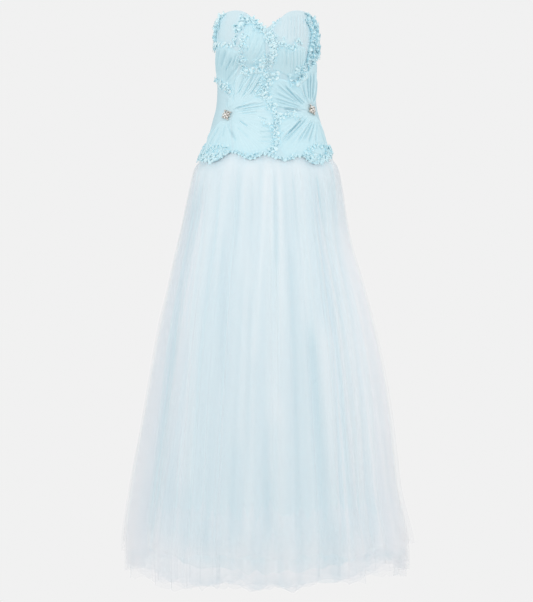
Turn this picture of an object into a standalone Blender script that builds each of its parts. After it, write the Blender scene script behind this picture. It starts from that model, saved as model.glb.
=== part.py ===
"""A strapless ball gown, filled out as it is worn, with nobody in it.

A pale blue corset bodice with a sweetheart neckline carries fan pleated chiffon petals, curly
ruffles along their edges and two crystal brooches. Below its scalloped edge hang three skirts,
one inside the other: a long lining, a tulle skirt to the floor and a shorter tulle skirt over it.

Metres, +Z up. The front faces -Y and +X is to the right of somebody who looks at the front.
The origin is the middle of the waist, where the wearer holds the gown up. A place on the gown is
a turn round the body, in degrees from the centre front (positive towards +X), and a height.
"""
import math

import bmesh
import bpy
import numpy as np
from mathutils import Matrix, Vector

# ------------------------------------------------------------------ driving sizes

BODICE_WALL = 0.0020        # boned satin of the corset
CHIFFON = 0.0010            # a pleated petal or a ruffle
SKIRT_WALL = 0.0014         # of tulle or lining, measured level
SEAM = 0.0003               # between pieces that are sewn together
LAYER_GAP = 0.0006          # between skirts where they hang from the same seam

TRIM_GAP = 0.0006           # between the corset's curve and a ruffle or a brooch
PETAL_GAP = 0.0011          # between the corset's curve and the petals
PLEAT_DEPTH = 0.0008
PLEAT_SAMPLES = 3           # columns in a pleat

RUFFLE_WIDTH = 0.0100
RUFFLE_PITCH = 0.0180       # one wave of a ruffle
RUFFLE_SWING = 0.0046       # sideways, at its free edge
RUFFLE_ROOT_SHARE = 0.3     # of that swing, at the edge that is sewn down
RUFFLE_SAMPLES = 4          # a wave

SKIRT_TOP = -0.118          # all three skirts are sewn in here, under the bodice
HEM_UNEVEN = 0.006          # how far a hem dips and rises

OVAL = 2.2                  # exponent of the body's ring: 2 is an ellipse, more is squarer
SMALLEST_RADIUS = 0.085     # of the bodice, at the back of the waist
METRES_A_DEGREE = 0.0021    # round the bodice
UNDERBUST = 0.072           # the seam under the cups
FRONT_EDGE = 62.0           # turn of the seam between a cup or the front and a side panel
BACK_EDGE = 118.0           # turn of the seam between a side and a back panel

BUST_TURN_X = 0.064         # a cup's crown, from the middle
BUST_HEIGHT = 0.128
BUST_RISE = 0.033
BUST_SPREAD_X = 0.050
BUST_SPREAD_Z = 0.058

# The corset's outer face. Each row is a level ring.
# height, half_width, front_depth, back_depth
BODICE_RINGS = (
    (-0.185, 0.1800, 0.1410, 0.1470),
    (-0.150, 0.1660, 0.1260, 0.1320),
    (-0.110, 0.1500, 0.1090, 0.1150),
    (-0.060, 0.1365, 0.0955, 0.1000),
    (-0.020, 0.1260, 0.0890, 0.0870),
    (+0.020, 0.1230, 0.0860, 0.0800),
    (+0.060, 0.1235, 0.0890, 0.0800),
    (+0.100, 0.1250, 0.0930, 0.0830),
    (+0.150, 0.1250, 0.0900, 0.0840),
    (+0.220, 0.1200, 0.0800, 0.0800),
)

# The upper edge, the same on both sides.
# turn, height
NECKLINE = (
    (0, 0.165),
    (9, 0.176),
    (20, 0.188),
    (34, 0.206),
    (48, 0.213),
    (64, 0.210),
    (78, 0.198),
    (90, 0.180),
    (110, 0.155),
    (140, 0.134),
    (180, 0.124),
)

# The corset's panels, each between two turns and two edges, and the grid that shapes it.
# name, from_turn, to_turn, lower_edge, upper_edge, columns, rows, pleats
PANELS = (
    ("cup_left", -FRONT_EDGE, 0, "underbust", "neckline", 13, 8, 0),
    ("cup_right", 0, FRONT_EDGE, "underbust", "neckline", 18, 8, 6),
    ("bodice_front", -FRONT_EDGE, FRONT_EDGE, "bodice_edge", "underbust", 20, 9, 0),
    ("bodice_side_left", -BACK_EDGE, -FRONT_EDGE, "bodice_edge", "neckline", 7, 12, 0),
    ("bodice_side_right", FRONT_EDGE, BACK_EDGE, "bodice_edge", "neckline", 7, 12, 0),
    ("bodice_back_left", -180, -BACK_EDGE, "bodice_edge", "neckline", 6, 12, 0),
    ("bodice_back_right", BACK_EDGE, 180, "bodice_edge", "neckline", 6, 12, 0),
)

# The lower edge in front, in scallops that follow the petals. Behind, the scallops are even.
# turn, height
BODICE_EDGE = (
    (-90, -0.129),
    (-69, -0.156),
    (-50, -0.156),
    (-42, -0.140),
    (-32, -0.143),
    (-17, -0.158),
    (-2, -0.144),
    (11, -0.155),
    (22, -0.160),
    (38, -0.149),
    (49, -0.168),
    (60, -0.157),
    (75, -0.136),
    (90, -0.129),
)
BACK_SCALLOP_TURN = 36.0
BACK_SCALLOP_DEPTH = 0.020

# The outer tulle skirt's mean ring at each height, before it is gathered.
# height, half_width, front_depth, back_depth
SKIRT_RINGS = (
    (-0.118, 0.1550, 0.1100, 0.1160),
    (-0.160, 0.1750, 0.1310, 0.1370),
    (-0.225, 0.1920, 0.1480, 0.1560),
    (-0.300, 0.2080, 0.1640, 0.1740),
    (-0.400, 0.2320, 0.1860, 0.1980),
    (-0.575, 0.2690, 0.2190, 0.2320),
    (-0.775, 0.3060, 0.2500, 0.2640),
    (-0.975, 0.3430, 0.2790, 0.2930),
    (-1.060, 0.3570, 0.2890, 0.3030),
    (-1.200, 0.3620, 0.2930, 0.3070),
)

# How far inside the outer tulle the other two skirts hang, and how deep the gathers are.
# height, under_tulle_inset, lining_inset, gather_depth
SKIRT_LAYERS = (
    (-0.118, 0.0022, 0.0044, 0.0000),
    (-0.170, 0.0030, 0.0075, 0.0008),
    (-0.300, 0.0050, 0.0190, 0.0045),
    (-0.575, 0.0085, 0.0330, 0.0080),
    (-0.775, 0.0110, 0.0470, 0.0100),
    (-1.000, 0.0130, 0.0640, 0.0120),
    (-1.200, 0.0150, 0.0760, 0.0130),
)

# The deepest creases of the tulle, between the even gathers: two run down from under the
# bodice on the right side, one on the left, and others like them hang behind.
# turn_at_top, turn_at_hem, half_width, depth, starts_at
CREASES = (
    (58, 47, 7, 0.016, -0.16),
    (76, 62, 6, 0.013, -0.16),
    (24, 20, 6, 0.014, -0.60),
    (3, 2, 5, 0.009, -0.75),
    (-19, -17, 5, 0.010, -0.35),
    (-38, -34, 6, 0.014, -0.70),
    (-64, -56, 7, 0.014, -0.40),
    (-96, -88, 6, 0.012, -0.30),
    (104, 98, 6, 0.012, -0.30),
    (132, 137, 7, 0.014, -0.20),
    (168, 172, 6, 0.012, -0.45),
    (-160, -157, 7, 0.014, -0.25),
    (-124, -129, 6, 0.012, -0.50),
)

GATHERS = 18                # round the whole skirt
GATHER_SAMPLES = 5
LINING_FOLDS = 8
LINING_SAMPLES = 4
SPRING_FROM = 0.008         # below the bodice's edge
SPRING_OVER = 0.032

# What makes the gathers uneven.
# drift (in radians), waves round the skirt, start
DRIFTS = ((0.10, 3, 1.1), (0.06, 7, 0.4))

# name, hem, levels up from the hem, columns in a half, inset_column, folds, crease_share, material
SKIRTS = (
    ("over_tulle", -1.100, (-0.800, -0.480, -0.270), GATHERS * GATHER_SAMPLES // 2, None,
     "gathers", 1.0, "tulle"),
    ("under_tulle", -1.184, (-0.800, -0.480, -0.270), GATHERS * GATHER_SAMPLES // 2, 1,
     "gathers", 1.0, "tulle"),
    ("lining", -1.150, (-0.850, -0.550, -0.300), LINING_FOLDS * LINING_SAMPLES // 2, 2,
     "broad", 0.3, "lining_satin"),
)
LONGEST_HEM = -1.184

# The petals. Each is pleated from its inner edge, which a brooch or a seam gathers, to its outer
# edge, which a ruffle follows.
# name, pleats, rows, inner edge (turn, height), outer edge (turn, height)
PETALS = (
    ("petal_left_cup", 3, 7,
     ((-31, 0.085), (-33, 0.110), (-35, 0.150), (-26, 0.182)),
     ((-4, 0.085), (-4, 0.105), (-6, 0.130), (-11, 0.158))),
    ("petal_left_side", 4, 4,
     ((-108, 0.040), (-88, 0.050), (-72, 0.040), (-60, 0.020), (-50, 0.022)),
     ((-110, 0.118), (-88, 0.128), (-70, 0.130), (-56, 0.122), (-43, 0.103))),
    ("petal_left_waist", 4, 5,
     ((-58, -0.034), (-54, -0.033), (-50, -0.036)),
     ((-35, 0.053), (-16, 0.060), (-1, 0.056), (-3, 0.030), (-8, 0.010))),
    ("petal_left_hip", 5, 5,
     ((-48, -0.040), (-48, -0.046), (-49, -0.053)),
     ((-24, -0.012), (-4, -0.008), (5, -0.030), (8, -0.080), (7, -0.124), (-6, -0.134),
      (-20, -0.145), (-34, -0.130))),
    ("petal_left_hem", 4, 7,
     ((-51, -0.057), (-56, -0.058), (-60, -0.055)),
     ((-38, -0.134), (-50, -0.146), (-69, -0.146), (-88, -0.119), (-99, -0.110))),
    ("petal_right_underbust", 5, 4,
     ((14, 0.106), (34, 0.116), (56, 0.112)),
     ((12, 0.066), (34, 0.056), (54, 0.070))),
    ("petal_right_side", 4, 5,
     ((64, -0.017), (69, -0.016), (73, -0.019)),
     ((62, 0.040), (68, 0.070), (76, 0.086), (90, 0.094), (108, 0.082))),
    ("petal_right_waist", 5, 5,
     ((62, -0.021), (60, -0.027), (60, -0.032)),
     ((41, 0.034), (20, 0.046), (5, 0.040), (3, 0.012), (9, -0.012), (18, -0.028))),
    ("petal_right_hip", 6, 5,
     ((61, -0.037), (65, -0.042), (71, -0.041)),
     ((24, -0.050), (17, -0.090), (17, -0.128), (24, -0.148), (38, -0.138), (49, -0.152),
      (64, -0.142), (82, -0.120), (104, -0.108))),
)

# The ruffles, each just outside its petal's edge.
# name, points (turn, height)
RUFFLES = (
    ("ruffle_left_cup", ((-24, 0.194), (-38, 0.180), (-41, 0.150), (-42, 0.124))),
    ("ruffle_left_neck", ((-19, 0.182), (-9, 0.170), (-1, 0.152))),
    ("ruffle_left_underarm", ((-110, 0.124), (-88, 0.135), (-70, 0.137), (-54, 0.130))),
    ("ruffle_left_underbust", ((-38, 0.112), (-36, 0.094), (-31, 0.079))),
    ("ruffle_middle_underbust", ((-34, 0.062), (-22, 0.068), (-10, 0.067), (0, 0.067))),
    ("ruffle_middle_cups", ((0, 0.138), (4, 0.122), (9, 0.114))),
    ("ruffle_right_underbust", ((22, 0.119), (36, 0.124), (50, 0.121))),
    ("ruffle_right_side", ((76, 0.192), (87, 0.172), (84, 0.145), (68, 0.122), (62, 0.104))),
    ("ruffle_right_front", ((64, 0.090), (60, 0.076), (56, 0.060), (48, 0.049), (34, 0.048))),
    ("ruffle_left_side", ((-106, 0.031), (-87, 0.041), (-71, 0.031), (-61, 0.012))),
    ("ruffle_middle_waist", ((2, 0.058), (1, 0.035), (-2, 0.014), (2, -0.003))),
    ("ruffle_middle_front", ((7, -0.020), (11, -0.046), (12, -0.069))),
    ("ruffle_middle_hip", ((12, -0.080), (12, -0.104), (12, -0.132))),
    ("ruffle_right_waist", ((22, -0.038), (33, -0.040), (43, -0.039))),
    ("ruffle_hem_left", ((-92, -0.125), (-70, -0.152), (-51, -0.152), (-45, -0.142))),
    ("ruffle_hem_middle", ((-39, -0.137), (-31, -0.140), (-17, -0.155), (-3, -0.142), (7, -0.149))),
    ("ruffle_hem_right", ((14, -0.153), (23, -0.157), (38, -0.146), (47, -0.161))),
    ("ruffle_hem_side", ((54, -0.161), (64, -0.150), (76, -0.132), (92, -0.125))),
)
BACK_RUFFLE_TURNS = (98, 107, 116, 125, 134, 143, 152, 161, 170, 178)
BACK_RUFFLE_RAISE = 0.003   # above the edge that it follows

# The crystals of a brooch: one in the middle and a ring round it.
BROOCHES = (("brooch_left", -54.0, -0.0455), ("brooch_right", 67.0, -0.0300))
BROOCH_RADIUS = 0.0095
BROOCH_PLATE = 0.0016
BROOCH_SIDES = 12
CRYSTAL_RADIUS = 0.0045
CRYSTAL_HEIGHT = 0.0050
CRYSTALS_ROUND = 6
CRYSTAL_SIDES = 6

ZIP_WIDTH = 0.012
ZIP_FOOT = -0.095
ZIP_HEAD = 0.120
ZIP_COLUMNS = 3
ZIP_ROWS = 9

# name: colour, roughness, metallic
MATERIALS = {
    "bodice_satin": ((0.56, 0.79, 0.87), 0.70, 0.0),
    "chiffon": ((0.58, 0.81, 0.88), 0.90, 0.0),
    "lining_satin": ((0.62, 0.84, 0.92), 0.55, 0.0),
    "tulle": ((0.86, 0.90, 0.93), 0.90, 0.0),
    "crystal": ((0.62, 0.52, 0.42), 0.10, 0.6),
    "zip_tape": ((0.60, 0.80, 0.87), 0.80, 0.0),
}


# ------------------------------------------------------------------ tables and curves

def through(rows, column, at):
    """Read one column of a table at any value of its first, along a smooth curve."""
    keys = np.array([row[0] for row in rows], float)
    values = np.array([row[column] for row in rows], float)
    if keys[0] > keys[-1]:
        keys, values = keys[::-1], values[::-1]
    at = np.clip(np.asarray(at, float), keys[0], keys[-1])
    slope = np.gradient(values, keys)
    i = np.clip(np.searchsorted(keys, at) - 1, 0, len(keys) - 2)
    step = keys[i + 1] - keys[i]
    t = (at - keys[i]) / step
    return ((1 + 2 * t) * (1 - t) ** 2 * values[i] + t * (1 - t) ** 2 * step * slope[i]
            + t * t * (3 - 2 * t) * values[i + 1] + t * t * (t - 1) * step * slope[i + 1])


def smooth_step(value):
    value = np.clip(value, 0.0, 1.0)
    return value * value * (3 - 2 * value)


def along(points, count):
    """An even walk of count places along a smooth curve through (turn, height) points."""
    points = np.array(points, float)
    lengths = np.hypot(np.diff(points[:, 0]) * METRES_A_DEGREE, np.diff(points[:, 1]))
    reach = np.concatenate([[0.0], np.cumsum(lengths)])
    rows = [(reach[i], turn, height) for i, (turn, height) in enumerate(points)]
    at = np.linspace(0.0, reach[-1], count)
    return np.stack([through(rows, 1, at), through(rows, 2, at)], -1)


# ------------------------------------------------------------------ the body under the cloth

def oval(turn, half_width, front_depth, back_depth):
    """Distance from the middle to a level ring, at a turn in radians."""
    depth = np.where(np.cos(turn) > 0, front_depth, back_depth)
    side = np.abs(np.sin(turn) / half_width) ** OVAL
    end = np.abs(np.cos(turn) / depth) ** OVAL
    return (side + end) ** (-1 / OVAL)


def ring_of(rows, turn, height):
    return oval(turn, *(through(rows, column, height) for column in (1, 2, 3)))


def corset(turn, height):
    """The corset's outer face, with its two cups."""
    turn = np.radians(turn)
    radius = ring_of(BODICE_RINGS, turn, height)
    x, y = radius * np.sin(turn), -radius * np.cos(turn)
    front = np.sqrt(np.clip(np.cos(turn), 0, 1))
    for side in (-1, 1):
        across = (x - side * BUST_TURN_X) / BUST_SPREAD_X
        up = (height - BUST_HEIGHT) / BUST_SPREAD_Z
        y = y - BUST_RISE * front * np.exp(-across ** 2 - up ** 2)
    return np.stack([x, y, height + 0 * x], -1)


def corset_normal(turn, height):
    small_turn, small_height = 0.5, 0.001
    right = corset(turn + small_turn, height) - corset(turn - small_turn, height)
    up = corset(turn, height + small_height) - corset(turn, height - small_height)
    normal = np.cross(right, up)
    return normal / np.linalg.norm(normal, axis=-1, keepdims=True)


def on_corset(turn, height, out=0.0):
    """A place on the corset, moved out from it."""
    turn, height = np.broadcast_arrays(np.asarray(turn, float), np.asarray(height, float))
    out = np.broadcast_to(out, turn.shape)
    return corset(turn, height) + corset_normal(turn, height) * out[..., None]


# ------------------------------------------------------------------ making objects

def clear_scene():
    for old in list(bpy.data.objects):
        bpy.data.objects.remove(old, do_unlink=True)


def make_collection(name):
    made = bpy.data.collections.new(name)
    bpy.context.scene.collection.children.link(made)
    return made


def make_material(name):
    colour, roughness, metallic = MATERIALS[name]
    material = bpy.data.materials.get(name)
    if material is None:
        material = bpy.data.materials.new(name)
        material.use_nodes = True
        shader = material.node_tree.nodes["Principled BSDF"]
        shader.inputs["Base Color"].default_value = (*colour, 1.0)
        shader.inputs["Roughness"].default_value = roughness
        shader.inputs["Metallic"].default_value = metallic
    return material


def add_object(name, mesh, material, collection):
    mesh.materials.append(make_material(material))
    made = bpy.data.objects.new(name, mesh)
    collection.objects.link(made)
    return made


def cloth(name, outer, inner, material, collection):
    """A piece of cloth: its outer and its inner face, each a grid of points, and their rim."""
    shape = bmesh.new()
    rows, columns = outer.shape[:2]
    front = [[shape.verts.new(place) for place in row] for row in outer]
    back = [[shape.verts.new(place) for place in row] for row in inner]
    for i in range(rows - 1):
        for j in range(columns - 1):
            shape.faces.new((front[i][j], front[i][j + 1], front[i + 1][j + 1], front[i + 1][j]))
            shape.faces.new((back[i][j], back[i + 1][j], back[i + 1][j + 1], back[i][j + 1]))
    for i in range(rows - 1):
        shape.faces.new((front[i][0], front[i + 1][0], back[i + 1][0], back[i][0]))
        shape.faces.new((front[i + 1][-1], front[i][-1], back[i][-1], back[i + 1][-1]))
    for j in range(columns - 1):
        shape.faces.new((front[0][j + 1], front[0][j], back[0][j], back[0][j + 1]))
        shape.faces.new((front[-1][j], front[-1][j + 1], back[-1][j + 1], back[-1][j]))
    made = add_object(name, finish_mesh(name, shape), material, collection)
    made.data.shade_smooth()
    made.data.set_sharp_from_angle(angle=math.radians(40))
    return made


def ribbon(name, points, wall, material, collection):
    """A narrow strip of cloth on a grid of points, given its wall by Solidify."""
    shape = bmesh.new()
    grid = [[shape.verts.new(place) for place in row] for row in points]
    for lower, upper in zip(grid, grid[1:]):
        for j in range(len(lower) - 1):
            shape.faces.new((lower[j], lower[j + 1], upper[j + 1], upper[j]))
    made = add_object(name, finish_mesh(name, shape), material, collection)
    made.data.shade_smooth()
    solidify = made.modifiers.new("wall", "SOLIDIFY")
    solidify.thickness = wall
    solidify.offset = 0
    return made


def finish_mesh(name, shape):
    mesh = bpy.data.meshes.new(name)
    shape.to_mesh(mesh)
    shape.free()
    return mesh


# ------------------------------------------------------------------ the bodice

def edge_height(edge, turns):
    """The height of a panel's edge at each turn."""
    if edge == "neckline":
        return through(NECKLINE, 1, np.abs(turns))
    if edge == "bodice_edge":
        return bodice_edge(turns)
    return UNDERBUST + 0 * turns


def corset_panel(name, start, end, lower, upper, columns, rows, pleats, collection):
    """A panel, drawn in by half a seam all round.

    Its pleats rise towards the upper edge, over a plain inside.
    """
    half_seam = math.degrees(0.5 * SEAM / SMALLEST_RADIUS)
    turns = np.linspace(start + half_seam, end - half_seam, columns + 1)
    part = np.linspace(0.0, 1.0, rows + 1)[:, None]
    low, high = edge_height(lower, turns) + SEAM / 2, edge_height(upper, turns) - SEAM / 2
    heights = low * (1 - part) + high * part
    grid = np.broadcast_to(turns, heights.shape)
    outer = on_corset(grid, heights, part * pleat_rise(pleats, columns + 1))
    cloth(name, outer, on_corset(grid, heights, -BODICE_WALL), "bodice_satin", collection)


def pleat_rise(pleats, columns):
    """The height of the pleats at each of a piece's columns."""
    share = np.linspace(0.0, 1.0, columns)
    return 0.5 * PLEAT_DEPTH * (1 - np.cos(2 * math.pi * pleats * share))


def bodice_edge(turns):
    turns = (turns + 180) % 360 - 180
    phase = 2 * math.pi * (np.abs(turns) - 90) / BACK_SCALLOP_TURN
    back = BODICE_EDGE[0][1] - 0.5 * BACK_SCALLOP_DEPTH * (1 - np.cos(phase))
    return np.where(np.abs(turns) > 90, back, through(BODICE_EDGE, 1, turns))


def build_zip(collection):
    """The closed concealed zip, behind the seam of the two back panels."""
    half_turn = math.degrees(0.5 * ZIP_WIDTH / SMALLEST_RADIUS)
    turns = np.linspace(180 - half_turn, 180 + half_turn, ZIP_COLUMNS + 1)
    heights = np.linspace(ZIP_FOOT, ZIP_HEAD, ZIP_ROWS + 1)[:, None]
    turns, heights = np.broadcast_arrays(turns, heights)
    inside = BODICE_WALL + 3 * SEAM
    cloth("zip_back", on_corset(turns, heights, -inside),
          on_corset(turns, heights, -inside - CHIFFON), "zip_tape", collection)


# ------------------------------------------------------------------ petals and ruffles

def build_petal(name, pleats, rows, inner, outer, collection):
    """A petal, pleated between its two edges."""
    columns = PLEAT_SAMPLES * pleats + 1
    start, end = along(inner, columns), along(outer, columns)
    part = np.linspace(0.0, 1.0, rows + 1)[:, None, None]
    places = start * (1 - part) + end * part
    if looks_in(places):
        places = places[:, ::-1]
    turns, heights = places[..., 0], places[..., 1]
    over = PETAL_GAP + CHIFFON + pleat_rise(pleats, columns)
    cloth(name, on_corset(turns, heights, over), on_corset(turns, heights, PETAL_GAP),
          "chiffon", collection)


def looks_in(places):
    """Whether a grid of (turn, height) places runs the wrong way round to face outwards."""
    across = (places[:, -1] - places[:, 0]).mean(axis=0)
    up = (places[-1] - places[0]).mean(axis=0)
    return across[0] * up[1] - across[1] * up[0] < 0


def build_ruffle(name, route, collection):
    """A narrow ribbon that stands on its edge and waves from side to side."""
    waves = max(2, round(route_length(route) / RUFFLE_PITCH))
    count = waves * RUFFLE_SAMPLES + 1
    turns, heights = along(route, count).T
    roots = on_corset(turns, heights, TRIM_GAP)
    normals = corset_normal(turns, heights)
    sideways = np.cross(normals, np.gradient(roots, axis=0))
    sideways /= np.linalg.norm(sideways, axis=-1, keepdims=True)
    swing = RUFFLE_SWING * np.sin(2 * math.pi * waves * np.linspace(0, 1, count))[:, None]
    root = roots + sideways * swing * RUFFLE_ROOT_SHARE
    tip = roots + normals * RUFFLE_WIDTH + sideways * swing
    ribbon(name, np.array([root, tip]), CHIFFON, "chiffon", collection)


def route_length(route):
    turns, heights = along(route, 40).T
    return np.linalg.norm(np.diff(on_corset(turns, heights), axis=0), axis=1).sum()


# ------------------------------------------------------------------ brooches

def add_cone(name, sides, base, top, height, collection):
    """A faceted cone that stands on its own origin."""
    shape = bmesh.new()
    bmesh.ops.create_cone(shape, cap_ends=True, segments=sides, radius1=base, radius2=top,
                          depth=height, matrix=Matrix.Translation((0, 0, height / 2)))
    return add_object(name, finish_mesh(name, shape), "crystal", collection)


def crystal_seats():
    """Where the crystals stand on the plate, and their sizes: a big one and a ring round it."""
    yield 0.0, 0.0, 1.25
    reach = BROOCH_RADIUS - 0.35 * CRYSTAL_RADIUS
    for i in range(CRYSTALS_ROUND):
        angle = 2 * math.pi * (i + 0.3) / CRYSTALS_ROUND
        yield reach * math.cos(angle), reach * math.sin(angle), 1.0 if i % 2 else 0.85


def build_brooch(name, turn, height, collection, cutters):
    """Faceted crystals fused to a round plate, where the petals are gathered."""
    plate = add_cone(name, BROOCH_SIDES, BROOCH_RADIUS, 0.9 * BROOCH_RADIUS, BROOCH_PLATE,
                     collection)
    for i, (x, y, size) in enumerate(crystal_seats()):
        crystal = add_cone("%s_crystal_%d" % (name, i), CRYSTAL_SIDES, CRYSTAL_RADIUS * size,
                           0.45 * CRYSTAL_RADIUS, CRYSTAL_HEIGHT * size, cutters)
        crystal.parent = plate
        crystal.location = (x, y, 0.4 * BROOCH_PLATE)
        crystal.rotation_euler.z = 0.4 * i
        crystal.hide_render = True
        crystal.display_type = "WIRE"
        union = plate.modifiers.new("crystal_%d" % i, "BOOLEAN")
        union.operation = "UNION"
        union.object = crystal
    normal = corset_normal(np.float64(turn), np.float64(height))
    plate.location = on_corset(turn, height, TRIM_GAP)
    plate.rotation_mode = "QUATERNION"
    plate.rotation_quaternion = Vector(normal).to_track_quat("Z", "Y")


# ------------------------------------------------------------------ the skirts

def gathers(turn, height):
    """How far the tulle stands in or out of its mean ring, from -1 to 1, unevenly spaced."""
    uneven = turn + sum(drift * np.sin(waves * turn + start) for drift, waves, start in DRIFTS)
    strength = 0.75 + 0.25 * np.sin(2 * turn + 0.6) * np.cos(5 * turn)
    return strength * np.cos(GATHERS * uneven + 0.5 * height)


def lining_folds(turn, height):
    """The same for the lining, in a few broad folds."""
    return 0.8 * np.cos(LINING_FOLDS * turn + 0.7 * np.sin(2 * turn)) + 0 * height


FOLDS = {"gathers": gathers, "broad": lining_folds}


def creases(degrees, height):
    """The depth of the long creases at a place."""
    depth = 0.0 * degrees
    for at_top, at_hem, half_width, deepest, starts in CREASES:
        down = np.clip((SKIRT_TOP - height) / (SKIRT_TOP - LONGEST_HEM), 0, 1)
        middle = at_top + (at_hem - at_top) * down
        away = (degrees - middle + 180) % 360 - 180
        grown = smooth_step((starts - height) / 0.25)
        depth = depth + deepest * grown * np.exp(-(away / half_width) ** 2)
    return depth


def skirt_face(degrees, height, inset_column, folds, crease_share, inward):
    """A place on a skirt's outer face, moved inwards.

    Above the bodice's lower edge a skirt lies inside the corset; below it, it springs out.
    """
    turn = np.radians(degrees)
    inside_corset = ring_of(BODICE_RINGS, turn, height) - BODICE_WALL - 2 * LAYER_GAP
    depth = through(SKIRT_LAYERS, 3, height)
    free = ring_of(SKIRT_RINGS, turn, height) + depth * folds(turn, height)
    sprung = smooth_step((bodice_edge(degrees) - SPRING_FROM - height) / SPRING_OVER)
    inset = through(SKIRT_LAYERS, inset_column, height) if inset_column else 0.0
    radius = inside_corset * (1 - sprung) + free * sprung - inset - inward
    radius = radius - crease_share * creases(degrees, height)
    return np.stack([radius * np.sin(turn), -radius * np.cos(turn), height + 0 * turn], -1)


def hem_drop(degrees):
    """Hems dip and rise a little between the folds."""
    turn = np.radians(degrees)
    return 0.5 * HEM_UNEVEN * (np.sin(5 * turn + 0.9) + 0.6 * np.sin(11 * turn + 2.0))


def build_skirt(name, hem, levels, columns, inset_column, folds, crease_share, material,
                collection):
    """A front and a back panel, sewn at the sides."""
    half_seam = math.degrees(0.5 * SEAM / SMALLEST_RADIUS)
    for word, start in (("front", -90), ("back", 90)):
        degrees = np.linspace(start + half_seam, start + 180 - half_seam, columns + 1)
        edge = bodice_edge(degrees)
        rows = [hem - hem_drop(degrees)]
        rows += [level + 0 * degrees for level in levels]
        rows += [edge - SPRING_FROM - SPRING_OVER, edge - SPRING_FROM, SKIRT_TOP + 0 * degrees]
        heights = np.array(rows)
        grid = np.broadcast_to(degrees, heights.shape)
        outer, inner = (
            skirt_face(grid, heights, inset_column, FOLDS[folds], crease_share, inward)
            for inward in (0.0, SKIRT_WALL))
        cloth(name + "_" + word, outer, inner, material, collection)


def build_back_ruffles(collection):
    """The scalloped edge's ruffle goes on round the plain back, in two halves."""
    for side, word in ((-1, "left"), (1, "right")):
        turns = side * np.array(BACK_RUFFLE_TURNS, float)
        route = np.stack([turns, bodice_edge(turns) + BACK_RUFFLE_RAISE], -1)
        build_ruffle("ruffle_hem_back_" + word, route, collection)


def build_gown():
    clear_scene()
    gown, cutters = make_collection("ball_gown"), make_collection("cutters")
    for skirt in SKIRTS:
        build_skirt(*skirt, gown)
    for panel in PANELS:
        corset_panel(*panel, gown)
    build_zip(gown)
    for petal in PETALS:
        build_petal(*petal, gown)
    for ruffle in RUFFLES:
        build_ruffle(*ruffle, gown)
    build_back_ruffles(gown)
    for brooch in BROOCHES:
        build_brooch(*brooch, gown, cutters)


build_gown()
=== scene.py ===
"""The looks of a strapless ball gown: pleated chiffon petals and curly ruffles on a corset bodice, over
layered tulle skirts. Metres, +Z up, front towards -Y, origin in the middle of the waist.

A place on the gown is a turn round the body, in degrees from the centre front (positive towards +X),
and a height. The forms are those of the solids; what is added here is the finer cloth on them.
"""
import math

import bmesh
import bpy
import numpy as np
from mathutils import Matrix, Vector


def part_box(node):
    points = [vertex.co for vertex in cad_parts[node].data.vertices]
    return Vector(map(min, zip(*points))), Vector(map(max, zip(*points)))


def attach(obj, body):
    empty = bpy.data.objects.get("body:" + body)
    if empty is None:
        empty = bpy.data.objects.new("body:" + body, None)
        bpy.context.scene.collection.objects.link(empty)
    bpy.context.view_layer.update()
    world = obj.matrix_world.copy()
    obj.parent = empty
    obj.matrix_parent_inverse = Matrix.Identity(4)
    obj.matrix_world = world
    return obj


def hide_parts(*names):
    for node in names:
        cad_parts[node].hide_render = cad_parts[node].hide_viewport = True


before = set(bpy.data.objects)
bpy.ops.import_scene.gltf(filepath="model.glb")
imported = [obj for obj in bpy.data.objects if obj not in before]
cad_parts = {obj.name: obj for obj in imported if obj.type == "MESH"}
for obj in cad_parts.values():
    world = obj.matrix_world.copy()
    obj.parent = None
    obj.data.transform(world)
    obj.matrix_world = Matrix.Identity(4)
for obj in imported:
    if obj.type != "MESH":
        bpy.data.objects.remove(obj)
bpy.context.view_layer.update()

# ---------------- sizes shared with the solids

OVAL = 2.2                  # exponent of the body's ring: 2 is an ellipse, more is squarer
METRES_A_DEGREE = 0.0021    # round the bodice
UNDERBUST = 0.072
FRONT_EDGE = 62.0
BACK_EDGE = 118.0
BUST_X, BUST_HEIGHT, BUST_RISE = 0.064, 0.128, 0.033
BUST_SPREAD_X, BUST_SPREAD_Z = 0.050, 0.058
BODICE_WALL = 0.0020
SEAM = 0.0003
LAYER_GAP = 0.0006
SKIRT_TOP = -0.118
LONGEST_HEM = -1.184
SPRING_FROM, SPRING_OVER = 0.008, 0.032
GATHERS = 18
LINING_FOLDS = 8

# height, half_width, front_depth, back_depth
BODICE_RINGS = (
    (-0.185, 0.1800, 0.1410, 0.1470),
    (-0.150, 0.1660, 0.1260, 0.1320),
    (-0.110, 0.1500, 0.1090, 0.1150),
    (-0.060, 0.1365, 0.0955, 0.1000),
    (-0.020, 0.1260, 0.0890, 0.0870),
    (+0.020, 0.1230, 0.0860, 0.0800),
    (+0.060, 0.1235, 0.0890, 0.0800),
    (+0.100, 0.1250, 0.0930, 0.0830),
    (+0.150, 0.1250, 0.0900, 0.0840),
    (+0.220, 0.1200, 0.0800, 0.0800),
)

# turn, height
NECKLINE = ((0, 0.165), (9, 0.176), (20, 0.188), (34, 0.206), (48, 0.213), (64, 0.210), (78, 0.198),
            (90, 0.180), (110, 0.155), (140, 0.134), (180, 0.124))

# turn, height
BODICE_EDGE = ((-90, -0.129), (-69, -0.156), (-50, -0.156), (-42, -0.140), (-32, -0.143),
               (-17, -0.158), (-2, -0.144), (11, -0.155), (22, -0.160), (38, -0.149), (49, -0.168),
               (60, -0.157), (75, -0.136), (90, -0.129))
BACK_SCALLOP_TURN = 36.0
BACK_SCALLOP_DEPTH = 0.020

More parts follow.
